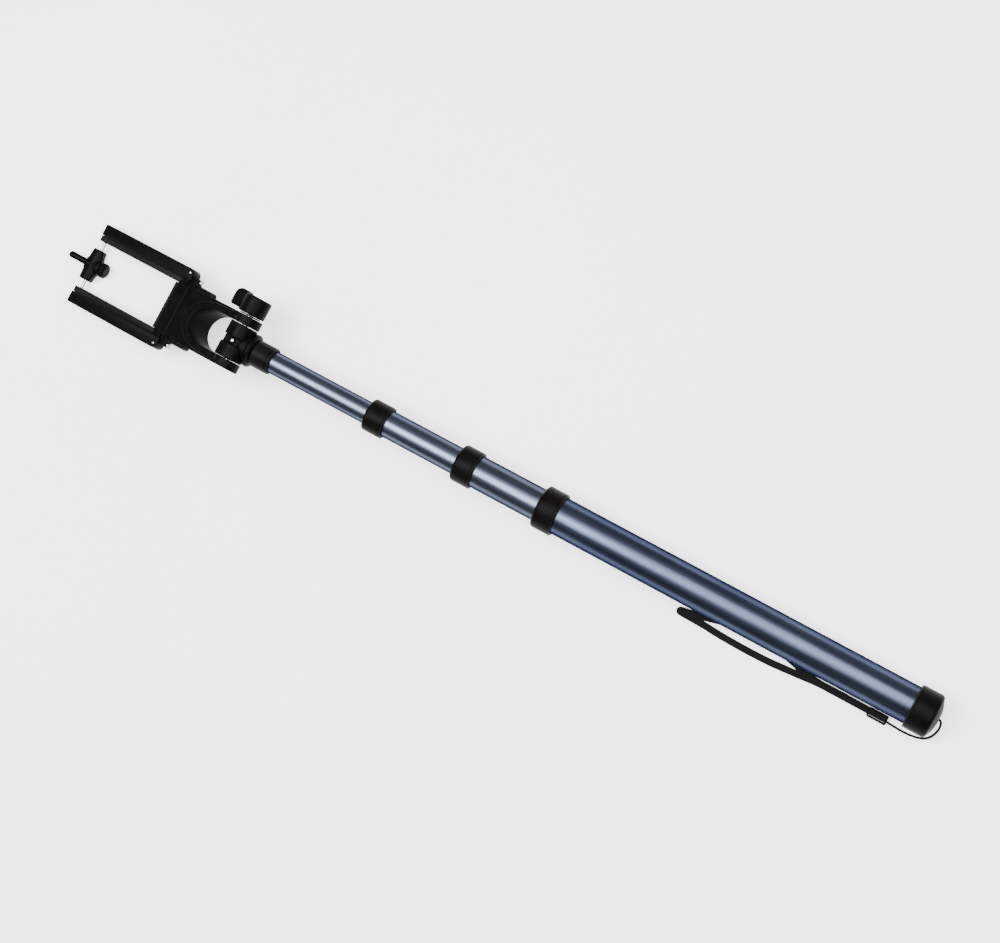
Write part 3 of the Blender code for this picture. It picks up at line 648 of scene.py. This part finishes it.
def make_clasp():
    """A small moulded slide that grips the cord's end and both ends of the webbing."""
    low, high = extent("strap_clasp", TABLE)
    middle = (low + high) / 2
    clasp = box("wrist_clasp", low, high, 0.0011)
    half, past = 0.0022, 0.001
    waist_low = (middle.x - half, low.y - past, high.z - 0.0007)
    cut(clasp, box("waist", waist_low, (middle.x + half, high.y + past, high.z + past)))
    moulded(clasp, FINE_VOXEL, 4)
    dress(clasp, TABLE, "grip", "satin", "strap_clasp")
    inset = 0.0012
    ridge_low = (low.x + inset, middle.y + 0.0016, high.z - inset)
    ridge = box("clasp_ridge", ridge_low, (high.x - inset, middle.y + 0.0024, high.z + 0.0001), 0.0003)
    dress(ridge, TABLE, "grip", "polished")
    return clasp


def make_cord(clasp):
    """Braided cord: strands cross each other in small diamonds."""
    points = even_steps(smooth_curve(CORD_ROUTE, 12) + [Vector(CORD_ROUTE[-1]) + CLASP_REACH], 0.00022)
    sides = 24
    relief = 0.00006
    crossing = 0.55
    radius = CORD_DIAMETER / 2 - relief

    def section(i, side, up):
        offsets = []
        for k in range(sides):
            a = 2 * math.pi * k / sides
            wave = math.cos(4 * a + crossing * i) * math.cos(4 * a - crossing * i)
            offsets.append((radius + relief * wave) * (side * math.cos(a) + up * math.sin(a)))
        return offsets

    cord = swept("braided_cord", points, section)
    dress(cord, TABLE, "grip", "webbing", "wrist_cord")


def make_webbing():
    """A flat woven strap folded back on itself, with warp and weft in relief and rounded selvedges."""
    first, last = (Vector(WEB_ROUTE[k]) - CLASP_REACH for k in (0, -1))
    points = even_steps([first] + smooth_curve(WEB_ROUTE, 12) + [last], 0.00042)
    columns = 12
    relief = 0.00007
    selvedge, rolled, thinned = 0.80, 0.20, 0.45
    half = WEB_WIDTH / 2
    thick = WEB_THICKNESS / 2 - relief

    def section(i, side, up):
        offsets = []
        for face in (1, -1):
            for k in range(columns + 1):
                u = face * (1 - 2 * k / columns)
                edge = 1.0 - thinned * max(0.0, abs(u) - selvedge) / rolled
                weave = relief * (1 if (i + k) % 2 else -1)
                offsets.append(side * half * u + up * face * (thick * edge + weave))
        return offsets

    webbing = swept("woven_webbing", points, section, level_side=True)
    subdivide = webbing.modifiers.new("subdivide", "SUBSURF")
    subdivide.levels = 1
    subdivide.render_levels = 1
    dress(webbing, TABLE, "grip", "webbing", "wrist_webbing")


# The pole


def make_tubes():
    walls = 0.0010
    for name, look in (("grip", "grip"), ("second", "tube"), ("third", "tube"), ("top", "tube")):
        low, high = extent(f"{name}_tube", POLE)
        profile = [(low.x, high.z - walls), (low.x, high.z), (high.x, high.z), (high.x, high.z - walls)]
        tube = turned(f"{name}_tube_skin", softened(profile, 0.0003, 3))
        dress(tube, POLE, name, look, f"{name}_tube")


def make_collars():
    """Moulded collars: rounded towards the head, with a fine groove near the other edge."""
    mouths = {"grip": "second", "second": "third", "third": "top"}
    lip = 0.0030
    for name, inner in mouths.items():
        low, high = extent(f"{name}_collar", POLE)
        radius = high.z
        bore = extent(f"{name}_tube", POLE)[1].z + GAP
        mouth = extent(f"{inner}_tube", POLE)[1].z + GAP
        start, end = low.x, high.x
        profile = [(start, bore), (start, radius - 0.0005), (start + 0.0005, radius)]
        profile += [(start + 0.0016, radius), (start + 0.0018, radius - 0.0003)]
        profile += [(start + 0.0021, radius - 0.0003), (start + 0.0023, radius)]
        profile += arc((end - 0.0025, radius - 0.0025), (0.0025, 0.0025), 90, 0, 10)
        profile += [(end, mouth + 0.0004), (end - 0.0004, mouth), (end - lip, mouth), (end - lip, bore)]
        dress(turned(f"{name}_collar_ring", profile), POLE, name, "plastic", f"{name}_collar")


def make_end_cap():
    high = extent("end_cap", POLE)[1]
    radius, length = high.z, high.x
    bore = extent("grip_tube", POLE)[1].z + GAP
    flat, dome, shoulder, straight, hole = 0.0045, 0.0320, 0.0150, 0.0062, 0.0014
    profile = [(0.0012, hole), (0.0003, hole + 0.0003), (0.0, hole + 0.0010), (0.0, flat)]
    for i in range(1, 9):
        r = flat + (shoulder - flat) * i / 8
        profile.append(((r * r - flat**2) / (2 * dome), r))
    rim = (shoulder**2 - flat**2) / (2 * dome)
    profile += arc((straight, shoulder), (straight - rim, radius - shoulder), 180, 90, 12)
    lip = length - 0.0016
    profile += [(lip - 0.0004, radius), (lip - 0.0002, radius - 0.0003), (lip, radius - 0.0003)]
    profile += [(lip + 0.0002, radius), (length - 0.0006, radius), (length, radius - 0.0006), (length, bore)]
    profile += [(0.0052, bore), (0.0052, hole)]
    dress(turned("butt_cap", profile), POLE, "grip", "satin", "end_cap")


def make_socket():
    low, high = extent("head_socket", POLE)
    radius = high.z
    bore = extent("top_tube", POLE)[1].z + GAP
    neck = 0.0073
    seat = 0.5883
    profile = [(low.x, bore), (low.x, radius - 0.0006), (low.x + 0.0006, radius)]
    groove = radius - 0.0003
    profile += [(low.x + 0.0024, radius), (low.x + 0.0026, groove), (low.x + 0.0030, groove)]
    profile += [(low.x + 0.0032, radius), (high.x - 0.0008, radius), (high.x, radius - 0.0008)]
    profile += [(high.x, neck), (seat, neck), (seat, bore)]
    dress(turned("socket_sleeve", profile), POLE, "top", "plastic", "head_socket")
    low, high = extent("socket_flange", POLE)
    half = (high.x - low.x) / 2
    crown = arc((low.x + half, high.z - half), (half, half), 180, 0, 16)
    profile = [(low.x, neck)] + crown + [(high.x, neck)]
    dress(turned("socket_ring", profile), POLE, "top", "plastic", "socket_flange")


def make_pivot():
    """A barrel on a neck, with a middle groove and a well for its screw, split into two halves.

    The black disc on the bolt is wider than the washer that it stands for.
    """
    groove, groove_depth = 0.0031, 0.0014
    centre = (PIVOT_X, 0.0, 0.0)
    far = 0.0300
    low, high = extent("pivot_shell_left", POLE)
    outer, inner, radius = high.y, 0.00002, high.z
    waist = radius - groove_depth
    profile = [(-outer, 0.0), (-outer, radius - 0.0004), (-outer + 0.0004, radius)]
    profile += [(-groove - 0.0003, radius), (-groove, waist), (groove, waist), (groove + 0.0003, radius)]
    profile += [(outer - 0.0004, radius), (outer, radius - 0.0004), (outer, 0.0)]
    barrel = turned("barrel", profile, 96, "Y", centre)
    web = rod("web", 0.5962, PIVOT_X - 0.0040, 0.0080, 64)
    web.data.transform(Matrix.Diagonal((1.0, 1.3, 1.0, 1.0)))
    join(barrel, web, rod("neck", low.x, PIVOT_X - 0.0050, 0.0070, 48))
    cut(barrel, rod("bore", -far, far, BOLT_BORE, 48, "Y", centre))
    cut(barrel, rod("well", 0.0086, 0.0130, 0.0027, 48, "Z", centre))
    moulded(barrel, VOXEL, 4, 0.35)
    cut(barrel, rod("screw_hole", 0.0015, 0.0100, 0.0011, 24, "Z", centre))
    for name, sign in (("left", 1), ("right", -1)):
        shell = bpy.data.objects.new(f"pivot_half_{name}", barrel.data.copy())
        bpy.context.scene.collection.objects.link(shell)
        near, away = sorted((sign * inner, sign * far))
        combine(shell, [box("half", (0.5, near, -far), (0.7, away, far))], "INTERSECT")
        shell.data.set_sharp_from_angle(angle=math.radians(35))
        dress(shell, POLE, "top", "plastic", f"pivot_shell_{name}")
    bpy.data.objects.remove(barrel)
    low, high = extent("tension_washer", HEAD)
    disc = rod("friction_disc", low.y, high.y, 0.0086, SMALL, "Y", edge=0.0002)
    cut(disc, rod("bore", -far, far, BOLT_BORE, 48, "Y"))
    dress(disc, HEAD, "head", "plastic", "tension_washer")


def make_screw_head(name, radius, height, stem, length):
    """A pan-head screw with a cross recess. Its head's top is at x = 0 and it points along +X."""
    profile = [(0.0, 0.0), (0.0, 0.62 * radius), (0.25 * height, 0.90 * radius), (0.60 * height, radius)]
    profile += [(height, radius), (height, stem), (length, stem), (length, 0.0)]
    screw = turned(name, profile, 48)
    slot = 0.14 * radius
    for low, high in (((-1, -slot, -0.6 * radius), (0.5 * height, slot, 0.6 * radius)),
                      ((-1, -0.6 * radius, -slot), (0.5 * height, 0.6 * radius, slot))):
        cut(screw, box("slot", low, high))
    return screw


def make_screws():
    low, high = extent("shell_screw", POLE)
    screw = make_screw_head("barrel_screw", 0.0015, 0.0013, 0.0008, high.z - low.z)
    top = Matrix.Translation((PIVOT_X, 0.0, high.z)) @ Matrix.Rotation(math.pi / 2, 4, "Y")
    dress(screw, POLE @ top, "top", "steel", "shell_screw")
    for name in ("left", "right"):
        low, high = extent(f"cradle_screw_{name}", HEAD)
        screw = make_screw_head(f"cradle_fixing_{name}", 0.0019, 0.0012, 0.0009, high.x - low.x)
        middle = Matrix.Translation((low.x, (low.y + high.y) / 2, 0.0))
        dress(screw, HEAD @ middle, "head", "steel", f"cradle_screw_{name}")


# The head


def make_knob():
    """A round hub with one rounded wing along the head, and a notch between them."""
    low, high = extent("tension_knob", HEAD)
    hub_radius = high.z
    inner, outer = high.y, -0.0388
    profile = [(inner, 0.0), (inner, hub_radius), (outer, hub_radius), (outer, 0.0)]
    hub = turned("tension_handle", softened(profile, 0.0016, 6), ROUND, "Y")
    reach, half = high.x, 0.0042
    wing_outer, wing_inner = low.y, -0.0254
    corner = 0.0055
    outline = [(0.0, wing_inner), (reach - 0.0012, wing_inner), (reach, wing_inner - 0.0012)]
    outline += arc((reach - corner, wing_outer + corner), (corner, corner), 0, -90, 10)
    outline += arc((0.0104, wing_outer + 0.0026), (0.0026, 0.0026), -90, -180, 6)
    outline += [(0.0066, wing_outer + 0.0048), (0.0, wing_outer + 0.0048)]
    wing = extruded("wing", outline, -half, half, "Z", 0.0018, 4)
    notch = box("notch", (0.0062, wing_outer - 0.001, -0.02), (0.0080, wing_outer + 0.0036, 0.02))
    cut(hub, notch)
    join(hub, wing)
    cut(hub, rod("insert_bore", -0.0318, 0.0, 0.0049, SMALL, "Y"))
    moulded(hub, VOXEL, 6)
    dress(hub, HEAD, "knob", "plastic", "tension_knob")


def fork_outline(end, half, start=0.0020, steps=40):
    """A U-shaped outline: two straight sides and an elliptical bend that ends at that distance."""
    bend = 0.0200
    curve = arc((bend, 0.0), (end - bend, half), 90, -90, steps)
    return [(start, half)] + curve + [(start, -half)]


def make_yoke():
    """A fork with a rounded raised bead round its flared slot, and a lower block behind the bend."""
    high = extent("yoke", HEAD)[1]
    outer, end, deep = high.y, high.x, high.z
    inner, slot_end, flare_end = 0.0150, 0.0350, 0.0411
    bead_end, bead_half = 0.0492, 0.0208
    disc, block = 0.0116, 0.0096
    side = arc((0.0, 0.0), (disc, disc), 270, 90, 48)
    side += [(0.0075, disc), (0.0110, block + 0.0006), (end, block - 0.0006), (end, 0.0006 - block)]
    side += [(0.0110, -block - 0.0006), (0.0075, -disc)]
    yoke = extruded("fork", side, -outer, outer, "Y")
    for face in (1, -1):
        near, far = sorted((face * 0.0040, face * deep))
        bead = extruded("bead", fork_outline(bead_end, bead_half), near, far, "Z", 0.0022, 5)
        join(yoke, bead)
    lower = fork_outline(slot_end, inner, -0.0200)
    upper = fork_outline(flare_end, inner, -0.0200)
    cut(yoke, tapered("slot", lower, upper, -deep - 0.0010, deep + 0.0010))
    cut(yoke, rod("bolt_hole", -0.0300, 0.0180, BOLT_BORE, 48, "Y"))
    square = 0.0043
    cut(yoke, box("head_pocket", (-square, 0.0174, -square), (square, 0.0300, square)))
    seam = 0.0003
    for sign in (-1, 1):
        near, far = sorted((sign * 0.0170, sign * 0.0300))
        button_low, button_high = extent("latch_button_left" if sign > 0 else "latch_button_right", HEAD)
        pocket_low = (button_low.x - GAP, near, button_low.z - GAP)
        pocket_high = (button_high.x + GAP, far, button_high.z + GAP)
        cut(yoke, box("button_pocket", pocket_low, pocket_high))
        near, far = sorted((sign * (outer - seam), sign * (outer + 0.001)))
        cut(yoke, box("seam", (-0.02, near, -0.00015), (0.06, far, 0.00015)))
    moulded(yoke, VOXEL, 5)
    dress(yoke, HEAD, "head", "plastic", "yoke")


def make_buttons():
    """Serrated push buttons over small springs."""
    for name, sign in (("left", 1), ("right", -1)):
        low, high = extent(f"latch_button_{name}", HEAD)
        face = high.y if sign > 0 else -low.y
        seat = low.y if sign > 0 else -high.y
        near, far = sorted((sign * seat, sign * (face - 0.0009)))
        button = box(f"latch_pad_{name}", (low.x, near, low.z), (high.x, far, high.z), 0.0006)
        ribs = 5
        for i in range(ribs):
            x = low.x + 0.0014 + (high.x - low.x - 0.0028) * i / (ribs - 1)
            near, far = sorted((sign * (face - 0.0020), sign * face))
            outline = [(x - 0.0010, near), (x + 0.0010, near), (x + 0.0005, far), (x - 0.0005, far)]
            if sign < 0:
                outline = [(x - 0.0005, near), (x + 0.0005, near), (x + 0.0010, far), (x - 0.0010, far)]
            join(button, extruded("rib", outline, -0.0043, 0.0043, "Z"))
        middle = ((low.x + high.x) / 2, 0.0, 0.0)
        start, end = sorted((sign * 0.0150, sign * 0.0230))
        cut(button, rod("spring_bore", start, end, 0.0027, 32, "Y", middle))
        moulded(button, FINE_VOXEL, 3)
        dress(button, HEAD, f"latch_{name}", "plastic", f"latch_button_{name}")
        low, high = extent(f"latch_spring_{name}", HEAD)
        start, end = (low.y, high.y)
        spring = coil(f"button_spring_{name}", start, end, middle, 0.0018, 0.00025, 4, "Y")
        material, slot = LOOKS["steel"]
        spring.matrix_world = HEAD
        spring.data.materials.append(material)
        near, far = (start, end) if sign > 0 else (end, start)
        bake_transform(spring)
        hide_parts(f"latch_spring_{name}")


def make_cradle():
    """The block between the rails, its ears, and the rubber ledge that the phone stands on."""
    low, high = extent("cradle_base", HEAD)
    end, lug_inner, lug_outer = high.x, 0.0200, high.y
    yoke_outer, yoke_end = 0.0223, 0.0573
    base = box("cradle_block", (yoke_end, -yoke_outer, -0.0090), (end, yoke_outer, 0.0090), 0.0009)
    bar_low = (0.0620, -STRIP_OUTER, -0.0070)
    join(base, box("bar", bar_low, (end, STRIP_OUTER, 0.0070), 0.0004))
    for sign in (-1, 1):
        near, far = sorted((sign * lug_inner, sign * lug_outer))
        join(base, box("lug", (yoke_end + GAP, near, -EAR_HALF), (0.0616, far, EAR_HALF), 0.0006))
        near, far = sorted((sign * (yoke_outer + GAP), sign * lug_outer))
        join(base, box("ear", (low.x, near, -EAR_HALF), (0.0606, far, EAR_HALF), 0.0006))
        near, far = sorted((sign * lug_inner, sign * (STRIP_OUTER + 0.0004)))
        join(base, box("bridge", (0.0592, near, -EAR_HALF), (0.0650, far, EAR_HALF)))
        cut(base, rod("screw_hole", 0.0500, 0.0700, FIXING_BORE, 24, "X", (0.0, sign * SCREW_LINE, 0.0)))
    moulded(base, VOXEL, 5)
    dress(base, HEAD, "head", "plastic", "cradle_base")
    low, high = extent("ledge_plate", HEAD)
    plate = box("ledge_pad", low, (high.x - 0.0005, high.y, high.z), 0.0005)
    ribs = 11
    for i in range(ribs):
        y = low.y + 0.0018 + (high.y - low.y - 0.0036) * i / (ribs - 1)
        rib_low = (high.x - 0.0010, y - 0.0007, low.z + 0.0010)
        join(plate, box("rib", rib_low, (high.x, y + 0.0007, high.z - 0.0010), 0.0003, 2))
    dress(plate, HEAD, "head", "rubber", "ledge_plate")


def make_rails():
    """Channels that carry the sliding jaw, chamfered along their outer edges."""
    for name, sign in (("left", 1), ("right", -1)):
        low, high = extent(f"rail_{name}", HEAD)
        outer = high.y if sign > 0 else -low.y
        inner = low.y if sign > 0 else -high.y
        start, tip, half = low.x, high.x, high.z
        corner = 0.0045
        outline = [(tip, sign * inner), (start, sign * inner)]
        outline += arc((start + corner, sign * (outer - corner)), (corner, corner * sign), 180, 90, 12)
        outline += arc((tip - 0.0012, sign * (outer - 0.0012)), (0.0012, 0.0012 * sign), 90, 0, 6)
        rail = extruded(f"channel_{name}", outline, -half, half, "Z")
        near, far = sorted((sign * 0.0200, sign * 0.0326))
        cut(rail, box("channel", (0.0640, near, -0.0044), (tip + 0.01, far, 0.0044)))
        rail = crisp(rail, 0.00075, 3, 50.0)
        pin_place = (0.0656, sign * 0.0314, 0.0)
        cut(rail, rod("pin_hole", -0.0100, 0.0100, 0.0013, 32, "Z", pin_place))
        cut(rail, rod("screw_hole", 0.0600, 0.0650, FIXING_BORE, 24, "X", (0.0, sign * SCREW_LINE, 0.0)))
        for face in (-1, 1):
            near, far = sorted((face * (half - 0.0005), face * (half + 0.001)))
            place = (tip - 0.0024, sign * (outer - 0.0036), 0.0)
            ring = [(near, 0.0010), (near, 0.0017), (far, 0.0017), (far, 0.0010)]
            cut(rail, turned("ring_mark", ring, 32, "Z", place))
        rail.data.shade_smooth()
        rail.data.set_sharp_from_angle(angle=math.radians(30))
        dress(rail, HEAD, "head", "plastic", f"rail_{name}")
        pin = rod(f"rail_rivet_{name}", -half + 0.0001, half - 0.0001, 0.0011, 32, "Z", pin_place, 0.0004)
        dress(pin, HEAD, "head", "steel", f"rail_pin_{name}")
        low, high = extent(f"jaw_spring_{name}", HEAD)
        middle = (0.0, sign * SPRING_LINE, 0.0)
        spring = coil(f"return_spring_{name}", low.x, high.x, middle, 0.0022, 0.0004, 6)
        material, slot = LOOKS["steel"]
        spring.matrix_world = HEAD
        spring.data.materials.append(material)
        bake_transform(spring)
        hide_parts(f"jaw_spring_{name}")


def make_jaw():
    """The sliding strips and the polished rods that cross between them."""
    for name, sign in (("left", 1), ("right", -1)):
        low, high = extent(f"slider_{name}", HEAD)
        inner = low.y if sign > 0 else -high.y
        tongue_outer = high.y if sign > 0 else -low.y
        near, far = sorted((sign * inner, sign * STRIP_OUTER))
        slider = box(f"jaw_strip_{name}", (low.x, near, low.z), (high.x, far, high.z))
        near, far = sorted((sign * (STRIP_OUTER - 0.0010), sign * tongue_outer))
        join(slider, box("tongue", (0.0840, near, -TONGUE_HALF), (high.x - 0.0004, far, TONGUE_HALF)))
        near, far = sorted((sign * (STRIP_OUTER - 0.0010), sign * (STRIP_OUTER + 0.0008)))
        join(slider, box("fin", (low.x + 0.0004, near, -TONGUE_HALF), (0.0850, far, TONGUE_HALF)))
        slider = crisp(slider, 0.0004, 3, 50.0)
        near, far = sorted((sign * 0.0150, sign * 0.0255))
        cut(slider, rod("rod_hole", near, far, ROD_BORE, 32, "Y", (ROD_AT, 0.0, 0.0)))
        groove_low, groove_high = sorted((sign * (inner - 0.001), sign * (inner + 0.0003)))
        for c in (-0.0032, 0.0, 0.0032):
            cut(slider, box("line", (0.0800, groove_low, c - 0.0002), (0.1490, groove_high, c + 0.0002)))
        slider.data.shade_smooth()
        slider.data.set_sharp_from_angle(angle=math.radians(30))
        dress(slider, HEAD, "jaw", "satin", f"slider_{name}")
        low, high = extent(f"cross_rod_{name}", HEAD)
        piece = rod(f"polished_rod_{name}", low.y, high.y, high.z, SMALL, "Y", (ROD_AT, 0.0, 0.0), 0.0003)
        dress(piece, HEAD, "jaw", "chrome", f"cross_rod_{name}")


def make_holder():
    """A moulded T on the rods: flat on the camera's side, and flared into the thumb knob's neck."""
    low, high = extent("screw_holder", HOLDER)
    half = high.y
    seat, deep = high.x, 0.0049
    outline = [(0.0052, -half), (0.0056, -0.0090), (seat, -0.0040)]
    outline += [(seat, 0.0040), (0.0056, 0.0090), (0.0052, half)]
    outline += [(-0.0044, half), (-0.0054, 0.0090), (-0.0066, 0.0060), (low.x, 0.0051)]
    outline += [(low.x, -0.0051), (-0.0066, -0.0060), (-0.0054, -0.0090), (-0.0044, -half)]
    hub = extruded("cross_holder", outline, -deep, deep, "Z")
    hub = crisp(hub, 0.0016, 5, 40.0)
    join(hub, rod("seat", 0.0, seat, 0.0053, SMALL, edge=0.0006))
    cut(hub, rod("shank_bore", -0.0200, 0.0200, 0.0023, 32))
    cut(hub, rod("root_sink", seat - 0.0015, 0.0200, 0.0031, 32))
    for sign in (-1, 1):
        near, far = sorted((sign * 0.0038, sign * 0.0200))
        cut(hub, rod("rod_bore", near, far, ROD_BORE, 32, "Y"))
    moulded(hub, FINE_VOXEL, 8)
    middle, wide, tall, flatter = 0.0006, 0.0062, 0.0060, 0.70
    for v in hub.data.vertices:
        across = min(abs(v.co.x - middle) / tall, abs(v.co.y) / wide, 1.0)
        v.co.z *= math.sqrt(1.0 - flatter * across * across)
    dress(hub, HOLDER, "screw_holder", "plastic", "screw_holder")


def make_camera_screw():
    """The stud, threaded at twenty turns to the inch inside its CAD cylinder, and its fluted thumb wheel."""
    low, high = extent("camera_screw", HOLDER)
    pitch, major, minor = 0.00127, 0.00275, 0.00222
    root, shank = high.x - 0.0189, 0.0020
    sides = 48
    step = pitch / 10
    count = int((high.x - root - 0.0002) / step)
    bm = bmesh.new()
    rings = []
    for i in range(count + 1):
        x = root + step * i
        ease = min(1.0, i / 8, (count - i) / 9)
        ring = []
        for k in range(sides):
            a = 2 * math.pi * k / sides
            turn = (x / pitch - k / sides) % 1.0
            rise = min(1.0, max(0.0, 2.6 * min(turn, 1.0 - turn) - 0.10)) * ease
            r = minor + (major - minor) * rise - 0.0004 * max(0.0, 1.0 - (count - i) / 4)
            ring.append(bm.verts.new((x, r * math.cos(a), r * math.sin(a))))
        rings.append(ring)
    for one, two in zip(rings, rings[1:]):
        for k in range(sides):
            m = (k + 1) % sides
            bm.faces.new((one[k], one[m], two[m], two[k]))
    bm.faces.new(rings[-1])
    foot = [bm.verts.new((root, shank * math.cos(a), shank * math.sin(a)))
            for a in (2 * math.pi * k / sides for k in range(sides))]
    tail = [bm.verts.new((low.x, v.co.y, v.co.z)) for v in foot]
    for one, two in ((rings[0], foot), (foot, tail)):
        for k in range(sides):
            m = (k + 1) % sides
            bm.faces.new((one[k], one[m], two[m], two[k]))
    bm.faces.new(tail)
    dress(to_object("threaded_stud", bm, 50.0), HOLDER, "camera_screw", "black_steel", "camera_screw")
    low, high = extent("thumb_knob", HOLDER)
    radius = high.z
    shank_end = low.x + 0.0027
    profile = [(low.x, 0.0), (low.x, radius - 0.0014), (low.x + 0.0014, radius), (high.x - 0.0012, radius)]
    profile += [(high.x, radius - 0.0012), (high.x, 0.0023), (shank_end, 0.0023), (shank_end, 0.0)]
    knob = turned("thumb_wheel", softened(profile, 0.0006, 4), 144, flutes=18, flute_depth=0.00035)
    dress(knob, HOLDER, "camera_screw", "plastic", "thumb_knob")


def dress_inner_parts():
    """The sleeves, bushes and fixings whose CAD shapes are right already."""
    for name in ("grip", "second", "third"):
        finish_node(f"{name}_friction_sleeve", "nylon")
    for name in ("second", "third", "top"):
        finish_node(f"{name}_guide_bush", "nylon")
    finish_node("end_plug", "nylon")
    finish_node("cord_knot", "webbing")
    finish_node("tension_bolt", "steel")
    finish_node("knob_insert", "brass")


def finish_node(node, look):
    obj = frame["nodes"][node]
    obj.data.materials.clear()
    obj.data.materials.append(LOOKS[look][0])


# The table and the light


def add_floor():
    g = Graph("pale_table", Specular_IOR_Level=0.2)
    mottle = g.noise(3.0, 3.0)
    g.colour(g.blend(g.spread(mottle, 0.0, 1.0), (0.86, 0.86, 0.86), (0.90, 0.90, 0.90)))
    g.roughness(g.spread(mottle, 0.75, 0.85))
    g.shader.inputs["Emission Color"].default_value = (1.0, 1.0, 1.0, 1.0)
    g.shader.inputs["Emission Strength"].default_value = FLOOR_GLOW
    bm = bmesh.new()
    bmesh.ops.create_circle(bm, cap_ends=True, segments=96, radius=FLOOR_RADIUS)
    floor = to_object("table_top", bm)
    floor.location.z = -0.0001
    floor.data.materials.append(g.material)


def add_area(name, place, aim, size, watts):
    data = bpy.data.lights.new(name, "AREA")
    data.shape = "RECTANGLE"
    data.size, data.size_y = size
    data.energy = watts
    light = bpy.data.objects.new(name, data)
    bpy.context.scene.collection.objects.link(light)
    light.location = place
    light.rotation_euler = (Vector(aim) - Vector(place)).to_track_quat("-Z", "Y").to_euler()
    return light


def add_light():
    world = bpy.data.worlds.new("studio")
    world.use_nodes = True
    background = world.node_tree.nodes["Background"]
    background.inputs["Color"].default_value = (0.96, 0.97, 1.0, 1.0)
    background.inputs["Strength"].default_value = WORLD_STRENGTH
    bpy.context.scene.world = world
    add_area("softbox", (-0.80, -0.30, SOFTBOX_HEIGHT), (-0.80, -0.30, 0.0), (2.5, 1.9), 136.0)
    add_area("head_softbox", (1.10, 0.30, SOFTBOX_HEIGHT), (1.10, 0.30, 0.0), (1.3, 1.3), 120.0)
    add_area("side_fill", (0.0, -2.3, 1.50), (0.0, 0.0, 0.10), (4.0, 1.4), 4.0)


add_camera()
make_cord(make_clasp())
make_webbing()
make_tubes()
make_collars()
make_end_cap()
make_socket()
make_pivot()
make_screws()
make_knob()
make_yoke()
make_buttons()
make_cradle()
make_rails()
make_jaw()
make_holder()
make_camera_screw()
dress_inner_parts()
add_floor()
add_light()
